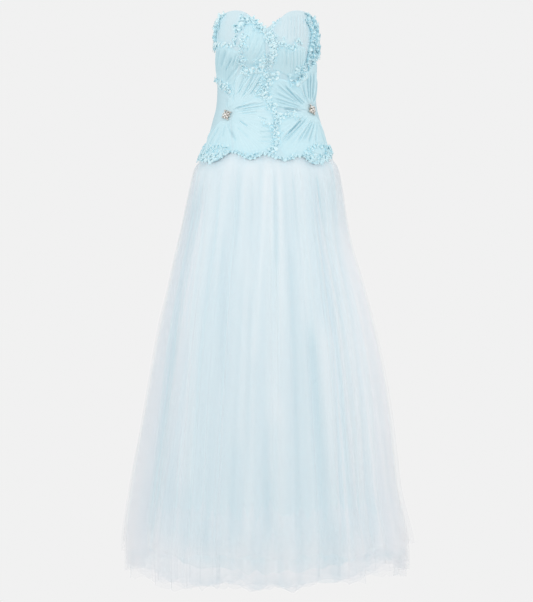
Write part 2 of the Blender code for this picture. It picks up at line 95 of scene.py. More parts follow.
# height, half_width, front_depth, back_depth
SKIRT_RINGS = (
    (-0.118, 0.1550, 0.1100, 0.1160),
    (-0.160, 0.1750, 0.1310, 0.1370),
    (-0.225, 0.1920, 0.1480, 0.1560),
    (-0.300, 0.2080, 0.1640, 0.1740),
    (-0.400, 0.2320, 0.1860, 0.1980),
    (-0.575, 0.2690, 0.2190, 0.2320),
    (-0.775, 0.3060, 0.2500, 0.2640),
    (-0.975, 0.3430, 0.2790, 0.2930),
    (-1.060, 0.3570, 0.2890, 0.3030),
    (-1.200, 0.3620, 0.2930, 0.3070),
)

# height, lining_inset, gather_depth
SKIRT_LAYERS = (
    (-0.118, 0.0044, 0.0000),
    (-0.170, 0.0075, 0.0008),
    (-0.300, 0.0190, 0.0045),
    (-0.575, 0.0330, 0.0080),
    (-0.775, 0.0470, 0.0100),
    (-1.000, 0.0640, 0.0120),
    (-1.200, 0.0760, 0.0130),
)

# The deepest creases of the tulle, as in the solids.
# turn_at_top, turn_at_hem, half_width, depth, starts_at
CREASES = (
    (58, 47, 7, 0.016, -0.16),
    (76, 62, 6, 0.013, -0.16),
    (24, 20, 6, 0.014, -0.60),
    (3, 2, 5, 0.009, -0.75),
    (-19, -17, 5, 0.010, -0.35),
    (-38, -34, 6, 0.014, -0.70),
    (-64, -56, 7, 0.014, -0.40),
    (-96, -88, 6, 0.012, -0.30),
    (104, 98, 6, 0.012, -0.30),
    (132, 137, 7, 0.014, -0.20),
    (168, 172, 6, 0.012, -0.45),
    (-160, -157, 7, 0.014, -0.25),
    (-124, -129, 6, 0.012, -0.50),
)
DRIFTS = ((0.10, 3, 1.1), (0.06, 7, 0.4))


# ---------------- tables and curves

def wrapped(degrees):
    """The same turn between -180 and 180 degrees."""
    return (degrees + 180) % 360 - 180


def smooth_step(value):
    value = np.clip(value, 0.0, 1.0)
    return value * value * (3 - 2 * value)


def off_the_ends(share, over):
    """From 0 at both ends of a share from 0 to 1 to 1 between them, over a part of it."""
    return smooth_step(np.minimum(share, 1 - share) / over)


def through(rows, column, at):
    """Read one column of a table at any value of its first, along a smooth curve."""
    keys = np.array([row[0] for row in rows], float)
    values = np.array([row[column] for row in rows], float)
    if keys[0] > keys[-1]:
        keys, values = keys[::-1], values[::-1]
    at = np.clip(np.asarray(at, float), keys[0], keys[-1])
    slope = np.gradient(values, keys)
    i = np.clip(np.searchsorted(keys, at) - 1, 0, len(keys) - 2)
    step = keys[i + 1] - keys[i]
    t = (at - keys[i]) / step
    return ((1 + 2 * t) * (1 - t) ** 2 * values[i] + t * (1 - t) ** 2 * step * slope[i]
            + t * t * (3 - 2 * t) * values[i + 1] + t * t * (t - 1) * step * slope[i + 1])


def all_through(rows, at):
    """Read every further column of a table at any value of its first."""
    return [through(rows, column, at) for column in range(1, len(rows[0]))]


def along(points, count):
    """An even walk of count places along a smooth curve through (turn, height) points."""
    points = np.array(points, float)
    lengths = np.hypot(np.diff(points[:, 0]) * METRES_A_DEGREE, np.diff(points[:, 1]))
    reach = np.concatenate([[0.0], np.cumsum(lengths)])
    rows = [(reach[i], turn, height) for i, (turn, height) in enumerate(points)]
    return np.stack(all_through(rows, np.linspace(0.0, reach[-1], count)), -1)


def line_length(places):
    return np.linalg.norm(np.diff(places, axis=0), axis=-1).sum()


def row_lengths(places):
    return np.linalg.norm(np.diff(places, axis=1), axis=-1).sum(axis=1)


def uneven(wave, turn, seed=0):
    """An uneven wave at turns in radians, from its size, its own seed, and its fewest and most counts
    round the body: the sum of whole waves of seeded heights and starts."""
    size, own_seed, fewest, most = wave
    random = np.random.default_rng(seed + own_seed)
    counts = np.arange(fewest, most + 1)
    starts = random.uniform(0, 2 * math.pi, len(counts))
    heights = random.uniform(0.4, 1.0, len(counts))
    heights = heights / math.sqrt(0.5 * (heights ** 2).sum())
    phase = counts[:, None] * np.ravel(turn) + starts[:, None]
    return size * (heights[:, None] * np.cos(phase)).sum(axis=0).reshape(np.shape(turn))


# ---------------- the body under the cloth

def oval(turn, half_width, front_depth, back_depth):
    depth = np.where(np.cos(turn) > 0, front_depth, back_depth)
    side = np.abs(np.sin(turn) / half_width) ** OVAL
    end = np.abs(np.cos(turn) / depth) ** OVAL
    return (side + end) ** (-1 / OVAL)


def ring_of(rows, turn, height):
    return oval(turn, *all_through(rows, height))


def corset(turn, height):
    """The corset's outer face, with its two cups."""
    turn = np.radians(turn)
    radius = ring_of(BODICE_RINGS, turn, height)
    x, y = radius * np.sin(turn), -radius * np.cos(turn)
    front = np.sqrt(np.clip(np.cos(turn), 0, 1))
    for side in (-1, 1):
        across = (x - side * BUST_X) / BUST_SPREAD_X
        up = (height - BUST_HEIGHT) / BUST_SPREAD_Z
        y = y - BUST_RISE * front * np.exp(-across ** 2 - up ** 2)
    return np.stack([x, y, height + 0 * x], -1)


def corset_normal(turn, height):
    small_turn, small_height = 0.5, 0.001
    right = corset(turn + small_turn, height) - corset(turn - small_turn, height)
    up = corset(turn, height + small_height) - corset(turn, height - small_height)
    normal = np.cross(right, up)
    return normal / np.linalg.norm(normal, axis=-1, keepdims=True)


def on_corset(turn, height, out=0.0):
    """A place on the corset, moved out from it."""
    turn, height = np.broadcast_arrays(np.asarray(turn, float), np.asarray(height, float))
    out = np.broadcast_to(out, turn.shape)
    return corset(turn, height) + corset_normal(turn, height) * out[..., None]


def length_on_corset(line):
    return line_length(on_corset(*line.T))


def bodice_edge(turns):
    """The height of the scalloped lower edge; past its table it is even scallops."""
    turns = wrapped(turns)
    away, table_end = np.abs(turns), BODICE_EDGE[-1][0]
    phase = 2 * math.pi * (away - table_end) / BACK_SCALLOP_TURN
    back = BODICE_EDGE[0][1] - 0.5 * BACK_SCALLOP_DEPTH * (1 - np.cos(phase))
    return np.where(away > table_end, back, through(BODICE_EDGE, 1, turns))


def edge_height(edge, turns):
    if edge == "neckline":
        return through(NECKLINE, 1, np.abs(turns))
    if edge == "bodice_edge":
        return bodice_edge(turns)
    return UNDERBUST + 0 * turns


# ---------------- materials

PATCHES, PATCHES_SCALE = 0.16, 55.0     # how patchy the cloth's tone is, and how finely


def add_node(tree, kind, links=(), **values):
    """A node with its inputs linked and its values set."""
    node = tree.nodes.new(kind)
    for key, value in values.items():
        if hasattr(node, key):
            setattr(node, key, value)
        else:
            node.inputs[key.replace("_", " ")].default_value = value
    for socket, source in dict(links).items():
        tree.links.new(source, node.inputs[socket])
    return node


class Nodes:
    """A short way to write a material's nodes."""

    def __init__(self, name):
        self.material = bpy.data.materials.new(name)
        self.material.use_nodes = True
        self.tree = self.material.node_tree
        self.shader = self.tree.nodes["Principled BSDF"]

    def add(self, kind, links=(), **values):
        return add_node(self.tree, kind, links, **values)

    def noise(self, scale, detail=3.0, stretch=(1, 1, 1)):
        place = self.add("ShaderNodeTexCoord").outputs["Object"]
        mapped = self.add("ShaderNodeMapping", {"Vector": place}, Scale=stretch)
        return self.add("ShaderNodeTexNoise", {"Vector": mapped.outputs[0]}, Scale=scale,
                        Detail=detail).outputs["Fac"]

    def tone(self):
        """The share from 0 to 1 that a mesh carries at each of its points or faces: its tone, with
        painted light and shade.
        """
        return self.add("ShaderNodeAttribute", attribute_name="tone").outputs["Fac"]

    def colour(self, share, colours, places=(0.3, 0.7)):
        """A colour from a row of colours, by a share from 0 to 1."""
        ramp = self.add("ShaderNodeValToRGB", {"Fac": share})
        stops = ramp.color_ramp.elements
        while len(stops) < len(colours):
            stops.new(0.5)
        for stop, place, colour in zip(stops, places, colours):
            stop.position = place
            stop.color = (*colour, 1)
        self.tree.links.new(ramp.outputs["Color"], self.shader.inputs["Base Color"])

    def bump(self, height, distance):
        node = self.add("ShaderNodeBump", {"Height": height}, Distance=distance, Strength=1.0)
        self.tree.links.new(node.outputs[0], self.shader.inputs["Normal"])

    def finished(self, **values):
        for key, value in values.items():
            self.shader.inputs[key.replace("_", " ")].default_value = value
        return self.material


# The tone picks a colour from deep through middle to pale: the deep end is painted shade and the pale
# end painted light, over random patches.
def cloth_material(name, deep, middle, pale, roughness, sheen, crinkle_scale, crinkle_depth):
    made = Nodes(name)
    patchy = made.add("ShaderNodeMath", {0: made.noise(PATCHES_SCALE)}, operation="MULTIPLY_ADD")
    patchy.inputs[1].default_value = PATCHES
    patchy.inputs[2].default_value = -PATCHES / 2
    share = made.add("ShaderNodeMath", {0: made.tone(), 1: patchy.outputs[0]}, operation="ADD")
    made.colour(share.outputs[0], (deep, middle, pale), (0.0, 0.5, 1.0))
    made.bump(made.noise(crinkle_scale, detail=4.0), crinkle_depth)
    return made.finished(Roughness=roughness, Sheen_Weight=sheen, Sheen_Roughness=0.5,
                         Specular_IOR_Level=0.25)


# The deep end is painted shade in folds; the pale end gives the paler hem and top, and painted light on
# ripples.
def lining_material(deep, middle, pale):
    made = Nodes("lining_satin")
    made.colour(made.tone(), (deep, middle, pale), (0.0, 0.5, 1.0))
    made.bump(made.noise(scale=1400.0, detail=4.0), distance=0.00008)
    return made.finished(Roughness=0.5, Specular_IOR_Level=0.2, Sheen_Weight=1.0,
                         Sheen_Roughness=0.35)


# The low colour is painted shade and the high colour painted light on the net's folds.
def tulle_material(name, low, high, alpha):
    made = Nodes(name)
    made.colour(made.tone(), (low, high), (0.0, 1.0))
    return made.finished(Roughness=0.9, Alpha=alpha, Specular_IOR_Level=0.1, Sheen_Weight=1.0,
                         Sheen_Roughness=0.5)


# Each facet takes one of these colours at random: painted dark reflections, middle and pale tones, and
# painted glints.
def crystal_material(painted_dark_reflection, middle, pale, painted_glint):
    made = Nodes("crystal")
    made.colour(made.tone(), (painted_dark_reflection, middle, pale, painted_glint), (0.0, 0.25, 0.5, 1.0))
    return made.finished(Roughness=0.10, Specular_IOR_Level=0.8, Coat_Weight=0.6)


def metal_material(low, high):
    made = Nodes("brooch_setting")
    made.colour(made.noise(scale=900.0), (low, high))
    return made.finished(Roughness=0.32, Metallic=0.9)


def tape_material(low, high):
    """Woven tape: its colour runs in upright threads and its bump in cross threads."""
    made = Nodes("zip_tape")
    made.colour(made.noise(scale=700.0, detail=2.0, stretch=(1, 1, 0.2)), (low, high))
    made.bump(made.noise(scale=1500.0, detail=2.0, stretch=(1, 1, 3)), distance=0.0002)
    return made.finished(Roughness=0.8)


# The deep colours are painted shade and the pale ones painted light.
CHIFFON = cloth_material("chiffon", (0.350, 0.570, 0.645), (0.555, 0.765, 0.825),
                         (0.685, 0.845, 0.885), roughness=0.8, sheen=0.12,
                         crinkle_scale=900.0, crinkle_depth=0.00025)
FRILL = cloth_material("chiffon_frill", (0.280, 0.530, 0.620), (0.550, 0.785, 0.850),
                       (0.735, 0.895, 0.925), roughness=0.8, sheen=0.2,
                       crinkle_scale=900.0, crinkle_depth=0.00015)
BODICE = cloth_material("bodice_cloth", (0.370, 0.570, 0.640), (0.590, 0.765, 0.820),
                        (0.650, 0.735, 0.770), roughness=0.7, sheen=0.12,
                        crinkle_scale=1100.0, crinkle_depth=0.00020)
LINING = lining_material((0.350, 0.610, 0.710), (0.468, 0.703, 0.772), (0.830, 0.885, 0.895))
OVER_TULLE = tulle_material("over_tulle_net", (0.74, 0.76, 0.79), (0.95, 0.915, 0.930), alpha=0.15)
UNDER_TULLE = tulle_material("under_tulle_net", (0.56, 0.68, 0.76), (0.95, 0.910, 0.925), alpha=0.16)
INNER_TULLE = tulle_material("inner_tulle_net", (0.48, 0.66, 0.74), (0.76, 0.84, 0.88), alpha=0.18)
CRYSTAL = crystal_material((0.12, 0.10, 0.07), (0.72, 0.64, 0.55), (0.95, 0.90, 0.88),
                           (1.0, 0.99, 0.98))
METAL = metal_material((0.42, 0.38, 0.31), (0.70, 0.66, 0.58))
TAPE = tape_material((0.56, 0.76, 0.84), (0.62, 0.81, 0.88))


# ---------------- making pieces

def placed(name, data):
    """A new object in the scene."""
    made = bpy.data.objects.new(name, data)
    bpy.context.scene.collection.objects.link(made)
    return made


def mesh_of(name, shape):
    """A mesh of a bmesh, which is freed."""
    mesh = bpy.data.meshes.new(name)
    shape.to_mesh(mesh)
    shape.free()
    return mesh


def grid_mesh(name, rows, closed=False):
    """A mesh on a grid of points; closed joins its last column to its first."""
    rows = np.asarray(rows, float)
    high, wide = rows.shape[:2]
    index = np.arange(high * wide).reshape(high, wide)
    right = np.roll(index, -1, axis=1) if closed else index[:, 1:]
    left = index if closed else index[:, :-1]
    faces = np.stack([left[:-1], right[:-1], right[1:], left[1:]], -1).reshape(-1, 4)
    mesh = bpy.data.meshes.new(name)
    mesh.from_pydata(rows.reshape(-1, 3).tolist(), [], faces.tolist())
    mesh.validate()
    mesh.shade_smooth()
    return mesh


def set_tone(mesh, tones):
    layer = mesh.attributes.new("tone", "FLOAT", "POINT")
    layer.data.foreach_set("value", np.ravel(np.clip(tones, 0, 1)).astype(np.float32))


def sharpen_border(mesh):
    """Keep the shading of a face clear of the rim of its wall."""
    shape = bmesh.new()
    shape.from_mesh(mesh)
    for edge in shape.edges:
        edge.smooth = not edge.is_boundary
    shape.to_mesh(mesh)
    shape.free()


def ring_normals(places):
    """The outward normals of a closed grid whose rows run upwards."""
    across = np.roll(places, -1, axis=1) - np.roll(places, 1, axis=1)
    normal = np.cross(across, np.gradient(places, axis=0))
    return normal / np.linalg.norm(normal, axis=-1, keepdims=True)


def add_piece(name, mesh, material, replaced=(), wall=0.0, offset=0.0):
    """A piece on the root body, with a wall if it has one, in place of the solids it replaces."""
    mesh.materials.append(material)
    made = placed(name, mesh)
    if wall:
        solidify = made.modifiers.new("wall", "SOLIDIFY")
        solidify.thickness = wall
        solidify.offset = offset
    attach(made, "root")
    if replaced:
        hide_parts(*replaced)
    return made


def cut_of(places, across=slice(None)):
    """The width and length of the cloth that a grid is cut from; across are the rows to measure."""
    length = np.linalg.norm(np.diff(places, axis=0), axis=-1).sum(axis=0).max()
    return row_lengths(places[across]).max(), length


# ---------------- the skirts

PLY_COLUMNS, HEM_PLY_COLUMNS, LINING_COLUMNS = 480, 360, 240
SKIRT_ROWS, SPRING_ROWS, HEM_PLY_ROWS = 44, 10, 14
HEM_ROW = slice(0, 1)
SIDE_POWER = 4              # how closely what belongs to the skirt's sides keeps to them

# A ply lies between its skirt's outer face (0) and the lining (1), and is gathered into uneven folds.
# name, node, hem, side_hem, from_height, inward, gathered, seed, material
TULLE_PLIES = (
    ("over_tulle_face", "over_tulle", -1.104, 0.000, None, 0.04, 0.45, 11, OVER_TULLE),
    ("over_tulle_back_ply", "over_tulle", -1.108, 0.004, None, 0.14, 0.80, 12, OVER_TULLE),
    ("under_tulle_face", "under_tulle", 0.000, 0.000, None, 0.26, 0.90, 13, UNDER_TULLE),
    ("under_tulle_middle_ply", "under_tulle", 0.003, 0.024, None, 0.46, 1.20, 14, UNDER_TULLE),
    ("under_tulle_back_ply", "under_tulle", 0.007, 0.040, None, 0.66, 1.50, 15, INNER_TULLE),
    ("under_tulle_hem_ply_1", "under_tulle", 0.001, 0.030, -1.000, 0.20, 0.25, 16, UNDER_TULLE),
    ("under_tulle_hem_ply_2", "under_tulle", 0.004, 0.040, -1.060, 0.34, 0.25, 17, INNER_TULLE),
    ("under_tulle_hem_ply_3", "under_tulle", 0.002, 0.016, -1.115, 0.28, 0.20, 18, UNDER_TULLE),
)

# turn, height: the hem of the longest tulle, which the under tulle's hems are measured from
TULLE_HEM = (
    (-180, -1.180), (-158, -1.175), (-137, -1.184), (-118, -1.172), (-104, -1.182), (-90, -1.176),
    (-72, -1.172), (-60, -1.180), (-50, -1.187), (-42, -1.187), (-31, -1.184), (-22, -1.173),
    (-14, -1.171), (-8, -1.180), (3, -1.177), (14, -1.183), (25, -1.168), (34, -1.169),
    (45, -1.176), (57, -1.161), (65, -1.160), (78, -1.175), (90, -1.181), (108, -1.172),
    (126, -1.184), (144, -1.174), (163, -1.183), (180, -1.180),
)

# turn, height
LINING_HEM = ((0, -1.150), (30, -1.143), (60, -1.122), (90, -1.108), (120, -1.122), (150, -1.143),
              (180, -1.150))

# Uneven waves round the skirts; a ply adds its seed to that of a wave of its own.
# size, seed, fewest, most
HEM_NICKS = (0.0026, 200, 16, 60)
HEM_SWEEPS = (0.0040, 600, 3, 14)
HEM_PLY_TOPS = (0.0140, 300, 8, 90)
FINE_FOLDS = (0.7, 400, 66, 104)
SHARED_FINE_FOLDS = (0.7, 5, 66, 104)
MIDDLE_FOLDS = (1.0, 0, 24, 50)
SHARED_MIDDLE_FOLDS = (1.0, 6, 22, 46)
DEEP_FOLDS = (1.0, 500, 26, 52)
LINING_HEM_WAVES = (0.0040, 22, 5, 40)
LINING_RIPPLE = (1.0, 21, 14, 30)

# How large each kind of fold is down the tulle.
# height, fine, middle, own_share, gather_share, deep
FOLD_SIZES = (
    (-0.118, 0.0006, 0.0004, 0.0, 0.4, 0.0004),
    (-0.200, 0.0009, 0.0014, 0.2, 0.5, 0.0014),
    (-0.350, 0.0010, 0.0020, 0.6, 0.6, 0.0032),
    (-0.600, 0.0011, 0.0024, 0.8, 0.6, 0.0052),
    (-0.900, 0.0012, 0.0026, 0.8, 0.6, 0.0070),
    (-1.200, 0.0014, 0.0028, 0.8, 0.7, 0.0080),
)

# The folds that show on the tulle; a ridge has a negative depth.
# turn_at_top, turn_at_foot, half_width, depth, top, foot
TULLE_FOLDS = (
    (50.5, 46.0, 2.2, 0.0088, -0.165, -1.080),
    (45.5, 41.5, 1.8, 0.0030, -0.170, -0.620),
    (-35.5, -26.0, 1.5, 0.0046, -0.300, -0.745),
    (19.8, 15.4, 1.9, 0.0040, -0.330, -1.080),
    (-0.3, -0.2, 1.8, 0.0036, -0.760, -1.080),
    (29.0, 35.0, 3.6, 0.0056, -0.540, -1.220),
    (-62.0, -53.0, 3.2, 0.0050, -0.560, -1.040),
    (-31.2, -30.6, 1.8, 0.0040, -0.980, -1.150),
    (-19.0, -16.6, 2.6, 0.0036, -0.800, -1.100),
    (1.9, 1.5, 1.8, 0.0036, -0.880, -1.110),
    (-12.0, -11.0, 1.6, 0.0026, -0.450, -0.950),
    (9.4, 8.6, 1.8, 0.0040, -0.160, -0.460),
    (-15.0, -13.5, 1.6, 0.0022, -0.170, -0.420),
    (-28.0, -23.0, 1.6, 0.0022, -0.170, -0.420),
    (35.5, 27.5, 3.0, -0.0014, -0.160, -0.580),
    (13.5, 5.5, 3.4, -0.0030, -0.160, -0.830),
    (-0.5, -9.5, 3.0, -0.0038, -0.150, -0.700),
    (-74.0, -62.0, 8.0, 0.0050, -0.180, -1.120),
    (80.0, 68.0, 7.0, -0.0024, -0.300, -1.020),
    (-42.0, -37.0, 9.0, 0.0018, -0.420, -1.150),
    (-50.0, -50.0, 9.0, -0.0026, -0.170, -0.400),
    (51.0, 54.0, 4.0, 0.0050, -0.980, -1.260),
    (50.0, 52.0, 1.6, 0.0034, -0.180, -0.500),
    (-47.0, -40.0, 1.6, 0.0030, -0.170, -0.520),
    (4.4, 4.4, 1.8, -0.0024, -0.160, -0.420),
    (-22.0, -20.0, 1.8, -0.0022, -0.170, -0.480),
    (28.0, 22.0, 1.6, 0.0026, -0.165, -0.400),
    (66.0, 58.0, 1.8, 0.0036, -0.165, -0.620),
    (-62.0, -55.0, 1.8, 0.0034, -0.170, -0.480),
    (-53.0, -44.5, 3.2, -0.0040, -0.300, -1.000),
    (38.6, 38.0, 3.4, -0.0046, -0.520, -1.100),
    (57.0, 57.0, 2.4, -0.0020, -0.480, -0.900),
    (-27.0, -27.2, 1.8, -0.0034, -0.930, -1.120),
    (8.8, 8.4, 2.6, -0.0034, -0.700, -1.120),
    (-8.5, -8.0, 2.2, -0.0028, -0.640, -1.100),
    (62.0, 60.0, 4.5, -0.0036, -0.240, -1.000),
    (-68.0, -64.0, 2.2, 0.0040, -0.200, -0.700),
    (72.0, 70.0, 2.4, 0.0040, -0.600, -1.120),
)
FOLD_ENDS = 0.09            # a fold rises from nothing over this height
CREASE_ENDS = 0.25          # and a crease over this one

# The folds round the back, which are drawn at random from these ranges.
HIDDEN_FOLDS, HIDDEN_TURNS, HIDDEN_SEED = 26, (80, 280), 77
HIDDEN_TOPS, HIDDEN_LENGTHS, LOWEST_FOOT = (-0.90, -0.15), (0.25, 0.85), -1.12
HIDDEN_DEPTHS, HIDDEN_WIDTHS = (0.0024, 0.0055), (1.5, 3.4)
HIDDEN_OFFSET, HIDDEN_DRIFT = 3, 4

GATHERS_EVEN = 0.75         # the share of the gathers' strength that is the same all round
CREASES_IN_TULLE = 0.7      # how far the tulle follows the solids' creases
SHADE_SHARE = 0.55          # how far it is shaded as its folds are, and not as its smooth form is

# The tulle's tone, from 0 (deep) to 1 (pale), and what changes it: painted shade in folds, troughs,
# along the hem and at the sides, and painted light on crests.
TULLE_TONE = 0.66
TULLE_FOLD_SHADE = 0.017     # painted shade: a fold of this depth takes it from 1 to 0
WAVE_LIGHT_AND_SHADE = 0.026           # and a wave of this height from 0 to 1: painted light on its crests, shade in its troughs
# Painted light and shade that follow the fine, deep and hem folds' waves
FINE_FOLD_SHADING, DEEP_FOLD_SHADING, HEM_FOLD_SHADING = 0.05, 0.03, 0.08
# Painted shade: a deeper band along the hem
HEM_BAND, HEM_BAND_OVER, HEM_PAINTED_SHADE = 0.045, 0.06, 0.42
# Painted shade: deeper at the sides of the upper skirt
SIDES_FROM, SIDES_OVER, SIDES_PAINTED_SHADE = -0.44, 0.20, 0.22

# The lining: its broad folds, and how far it follows the tulle's creases and folds.
LINING_BROAD, LINING_DRIFT, LINING_RIPPLED = 0.8, 0.7, 0.22
LINING_CREASED, LINING_FOLDED = 0.3, 0.8
# Painted shade down in the lining's folds and painted light and shade on its ripples; the hem and top
# bands are paler.
LINING_TONE, LINING_FOLD_SHADE, RIPPLE_LIGHT_AND_SHADE = 0.50, 0.027, 0.07
HEM_PALE, HEM_PALE_BAND, HEM_PALE_OVER = 0.50, 0.09, 0.11
TOP_PALE, TOP_PALE_FROM, TOP_PALE_OVER = 0.17, -0.30, 0.18

# How far the right and left sides draw in from the even ring.
# height, right, left
SIDES_IN = (
    (-0.118, 0.000, 0.000),
    (-0.200, 0.002, 0.000),
    (-0.300, 0.009, 0.000),
    (-0.370, 0.013, 0.001),
    (-0.450, 0.008, 0.001),
    (-0.560, 0.002, 0.000),
    (-0.780, 0.001, 0.000),
    (-0.880, 0.008, 0.000),
    (-0.980, 0.014, 0.000),
    (-1.050, 0.008, 0.000),
    (-1.110, 0.000, 0.000),
    (-1.200, 0.000, 0.000),
)


def hidden_folds():
    """Folds like those of the front, all round the back."""
    random = np.random.default_rng(HIDDEN_SEED)
    for turn in np.linspace(*HIDDEN_TURNS, HIDDEN_FOLDS):
        top = random.uniform(*HIDDEN_TOPS)
        foot = max(top - random.uniform(*HIDDEN_LENGTHS), LOWEST_FOOT)
        depth = random.uniform(*HIDDEN_DEPTHS) * random.choice((1, 1, -1))
        at_top = turn + random.uniform(-HIDDEN_OFFSET, HIDDEN_OFFSET)
        at_foot = at_top + random.uniform(-HIDDEN_DRIFT, HIDDEN_DRIFT)
        yield at_top, at_foot, random.uniform(*HIDDEN_WIDTHS), depth, top, foot


ALL_TULLE_FOLDS = (*TULLE_FOLDS, *hidden_folds())


def creases(degrees, height):
    """How far the solids' creases take a skirt inwards."""
    depth = 0.0 * degrees
    down = np.clip((SKIRT_TOP - height) / (SKIRT_TOP - LONGEST_HEM), 0, 1)
    for at_top, at_hem, half_width, deepest, starts in CREASES:
        away = wrapped(degrees - (at_top + (at_hem - at_top) * down))
        grown = smooth_step((starts - height) / CREASE_ENDS)
        depth = depth + deepest * grown * np.exp(-(away / half_width) ** 2)
    return depth


def tulle_folds(degrees, height):
    """How far the folds that show take the tulle inwards."""
    depth = 0.0 * degrees
    for at_top, at_foot, half_width, deepest, top, foot in ALL_TULLE_FOLDS:
        down = (top - height) / (top - foot)
        away = wrapped(degrees - (at_top + (at_foot - at_top) * down)) / half_width
        ends = smooth_step((top - height) / FOLD_ENDS) * smooth_step((height - foot) / FOLD_ENDS)
        depth = depth + deepest * ends * np.exp(-away ** 2)
    return depth


def main_gathers(turn, height):
    """The solids' gathers, from -1 to 1: unevenly spaced, and stronger in places."""
    drifted = turn + sum(drift * np.sin(waves * turn + start) for drift, waves, start in DRIFTS)
    changing = np.sin(2 * turn + 0.6) * np.cos(5 * turn)
    strength = GATHERS_EVEN + (1 - GATHERS_EVEN) * changing
    return strength * np.cos(GATHERS * drifted + 0.5 * height)


def degrees_round(columns):
    return np.linspace(-180, 180, columns + 1)[:-1][None, :]


def skirt_heights(hem, degrees):
    """Rows that follow the bodice's edge at the top and the hem at the bottom."""
    part = np.linspace(0.0, 1.0, SKIRT_ROWS)[1:, None]
    upper = np.linspace(0.0, 1.0, SPRING_ROWS)[:, None]
    turn_out = bodice_edge(degrees) - SPRING_FROM - SPRING_OVER
    above = SKIRT_TOP * (1 - upper) + turn_out * upper
    below = turn_out * (1 - part) + hem * part
    return np.concatenate([above, below])[::-1]


def skirt_form(degrees, height, inset, folded):
    """A place on a skirt, from its mean ring, its inset and its folds."""
    turn = np.radians(degrees)
    inside_corset = ring_of(BODICE_RINGS, turn, height) - BODICE_WALL - 2 * LAYER_GAP
    side = np.sin(turn)
    right, left = all_through(SIDES_IN, height)
    drawn = (right * np.clip(side, 0, 1) ** SIDE_POWER
             + left * np.clip(-side, 0, 1) ** SIDE_POWER)
    free = ring_of(SKIRT_RINGS, turn, height) + folded - drawn
    sprung = smooth_step((bodice_edge(degrees) - SPRING_FROM - height) / SPRING_OVER)
    radius = inside_corset * (1 - sprung) + free * sprung - inset
    return np.stack([radius * np.sin(turn), -radius * np.cos(turn), height + 0 * turn], -1)


def tulle_heights(node, hem, side_hem, from_height, seed):
    """The heights of a ply's rows, down to its ragged hem, and that hem."""
    degrees = degrees_round(PLY_COLUMNS if from_height is None else HEM_PLY_COLUMNS)
    turn = np.radians(degrees)
    ragged = uneven(HEM_NICKS, turn, seed) + uneven(HEM_SWEEPS, turn, seed)
    ragged = ragged + side_hem * np.abs(np.sin(turn)) ** SIDE_POWER
    hems = ragged + (hem if node == "over_tulle" else through(TULLE_HEM, 1, degrees) + hem)
    if from_height is None:
        heights = skirt_heights(hems, degrees)
    else:
        top = from_height + uneven(HEM_PLY_TOPS, turn, seed)
        part = np.linspace(0.0, 1.0, HEM_PLY_ROWS)[:, None]
        heights = hems * (1 - part) + top * part
    return np.broadcast_to(degrees, heights.shape), heights, hems


def build_tulle(name, node, hem, side_hem, from_height, inward, gathered, seed, material):
    degrees, heights, hems = tulle_heights(node, hem, side_hem, from_height, seed)
    turn = np.radians(degrees[:1])
    fine = uneven(SHARED_FINE_FOLDS, turn) + uneven(FINE_FOLDS, turn, seed)
    deep = uneven(DEEP_FOLDS, turn, seed)
    fine_size, middle_size, own_share, gather_share, deep_size = all_through(FOLD_SIZES, heights)
    lining_inset, gather_depth = all_through(SKIRT_LAYERS, heights)
    waves = middle_size * ((1 - own_share) * uneven(SHARED_MIDDLE_FOLDS, turn)
                           + own_share * uneven(MIDDLE_FOLDS, turn, seed))
    shown = tulle_folds(degrees, heights)
    folded = (gather_depth * gather_share * main_gathers(np.radians(degrees), heights)
              + fine_size * fine + waves - shown - CREASES_IN_TULLE * creases(degrees, heights)
              + gathered * deep_size * deep)
    places = skirt_form(degrees, heights, inward * lining_inset, folded)
    smooth = skirt_form(degrees, heights, inward * lining_inset, 0 * folded)
    normals = SHADE_SHARE * ring_normals(places) + (1 - SHADE_SHARE) * ring_normals(smooth)
    mesh = grid_mesh(name, places, closed=True)
    # Painted shade: a deeper band along the hem (low), strongest front and back, and deeper sides up the
    # skirt (beside).
    low = smooth_step((hems + HEM_BAND - heights) / HEM_BAND_OVER) * np.cos(turn) ** 2
    beside = smooth_step((heights - SIDES_FROM) / SIDES_OVER) * np.sin(turn) ** 2
    # painted light on the folds' crests, and painted shade in their troughs and in the folds that show
    fold_shading = FINE_FOLD_SHADING * fine + waves / WAVE_LIGHT_AND_SHADE + (DEEP_FOLD_SHADING + HEM_FOLD_SHADING * low) * deep
    set_tone(mesh, TULLE_TONE - shown / TULLE_FOLD_SHADE + fold_shading - HEM_PAINTED_SHADE * low
             - SIDES_PAINTED_SHADE * beside)
    mesh.normals_split_custom_set_from_vertices(normals.reshape(-1, 3).tolist())
    made = add_piece(name, mesh, material, (node + "_front", node + "_back"))
    made.visible_shadow = made.visible_diffuse = False
    cut_of(places, HEM_ROW)


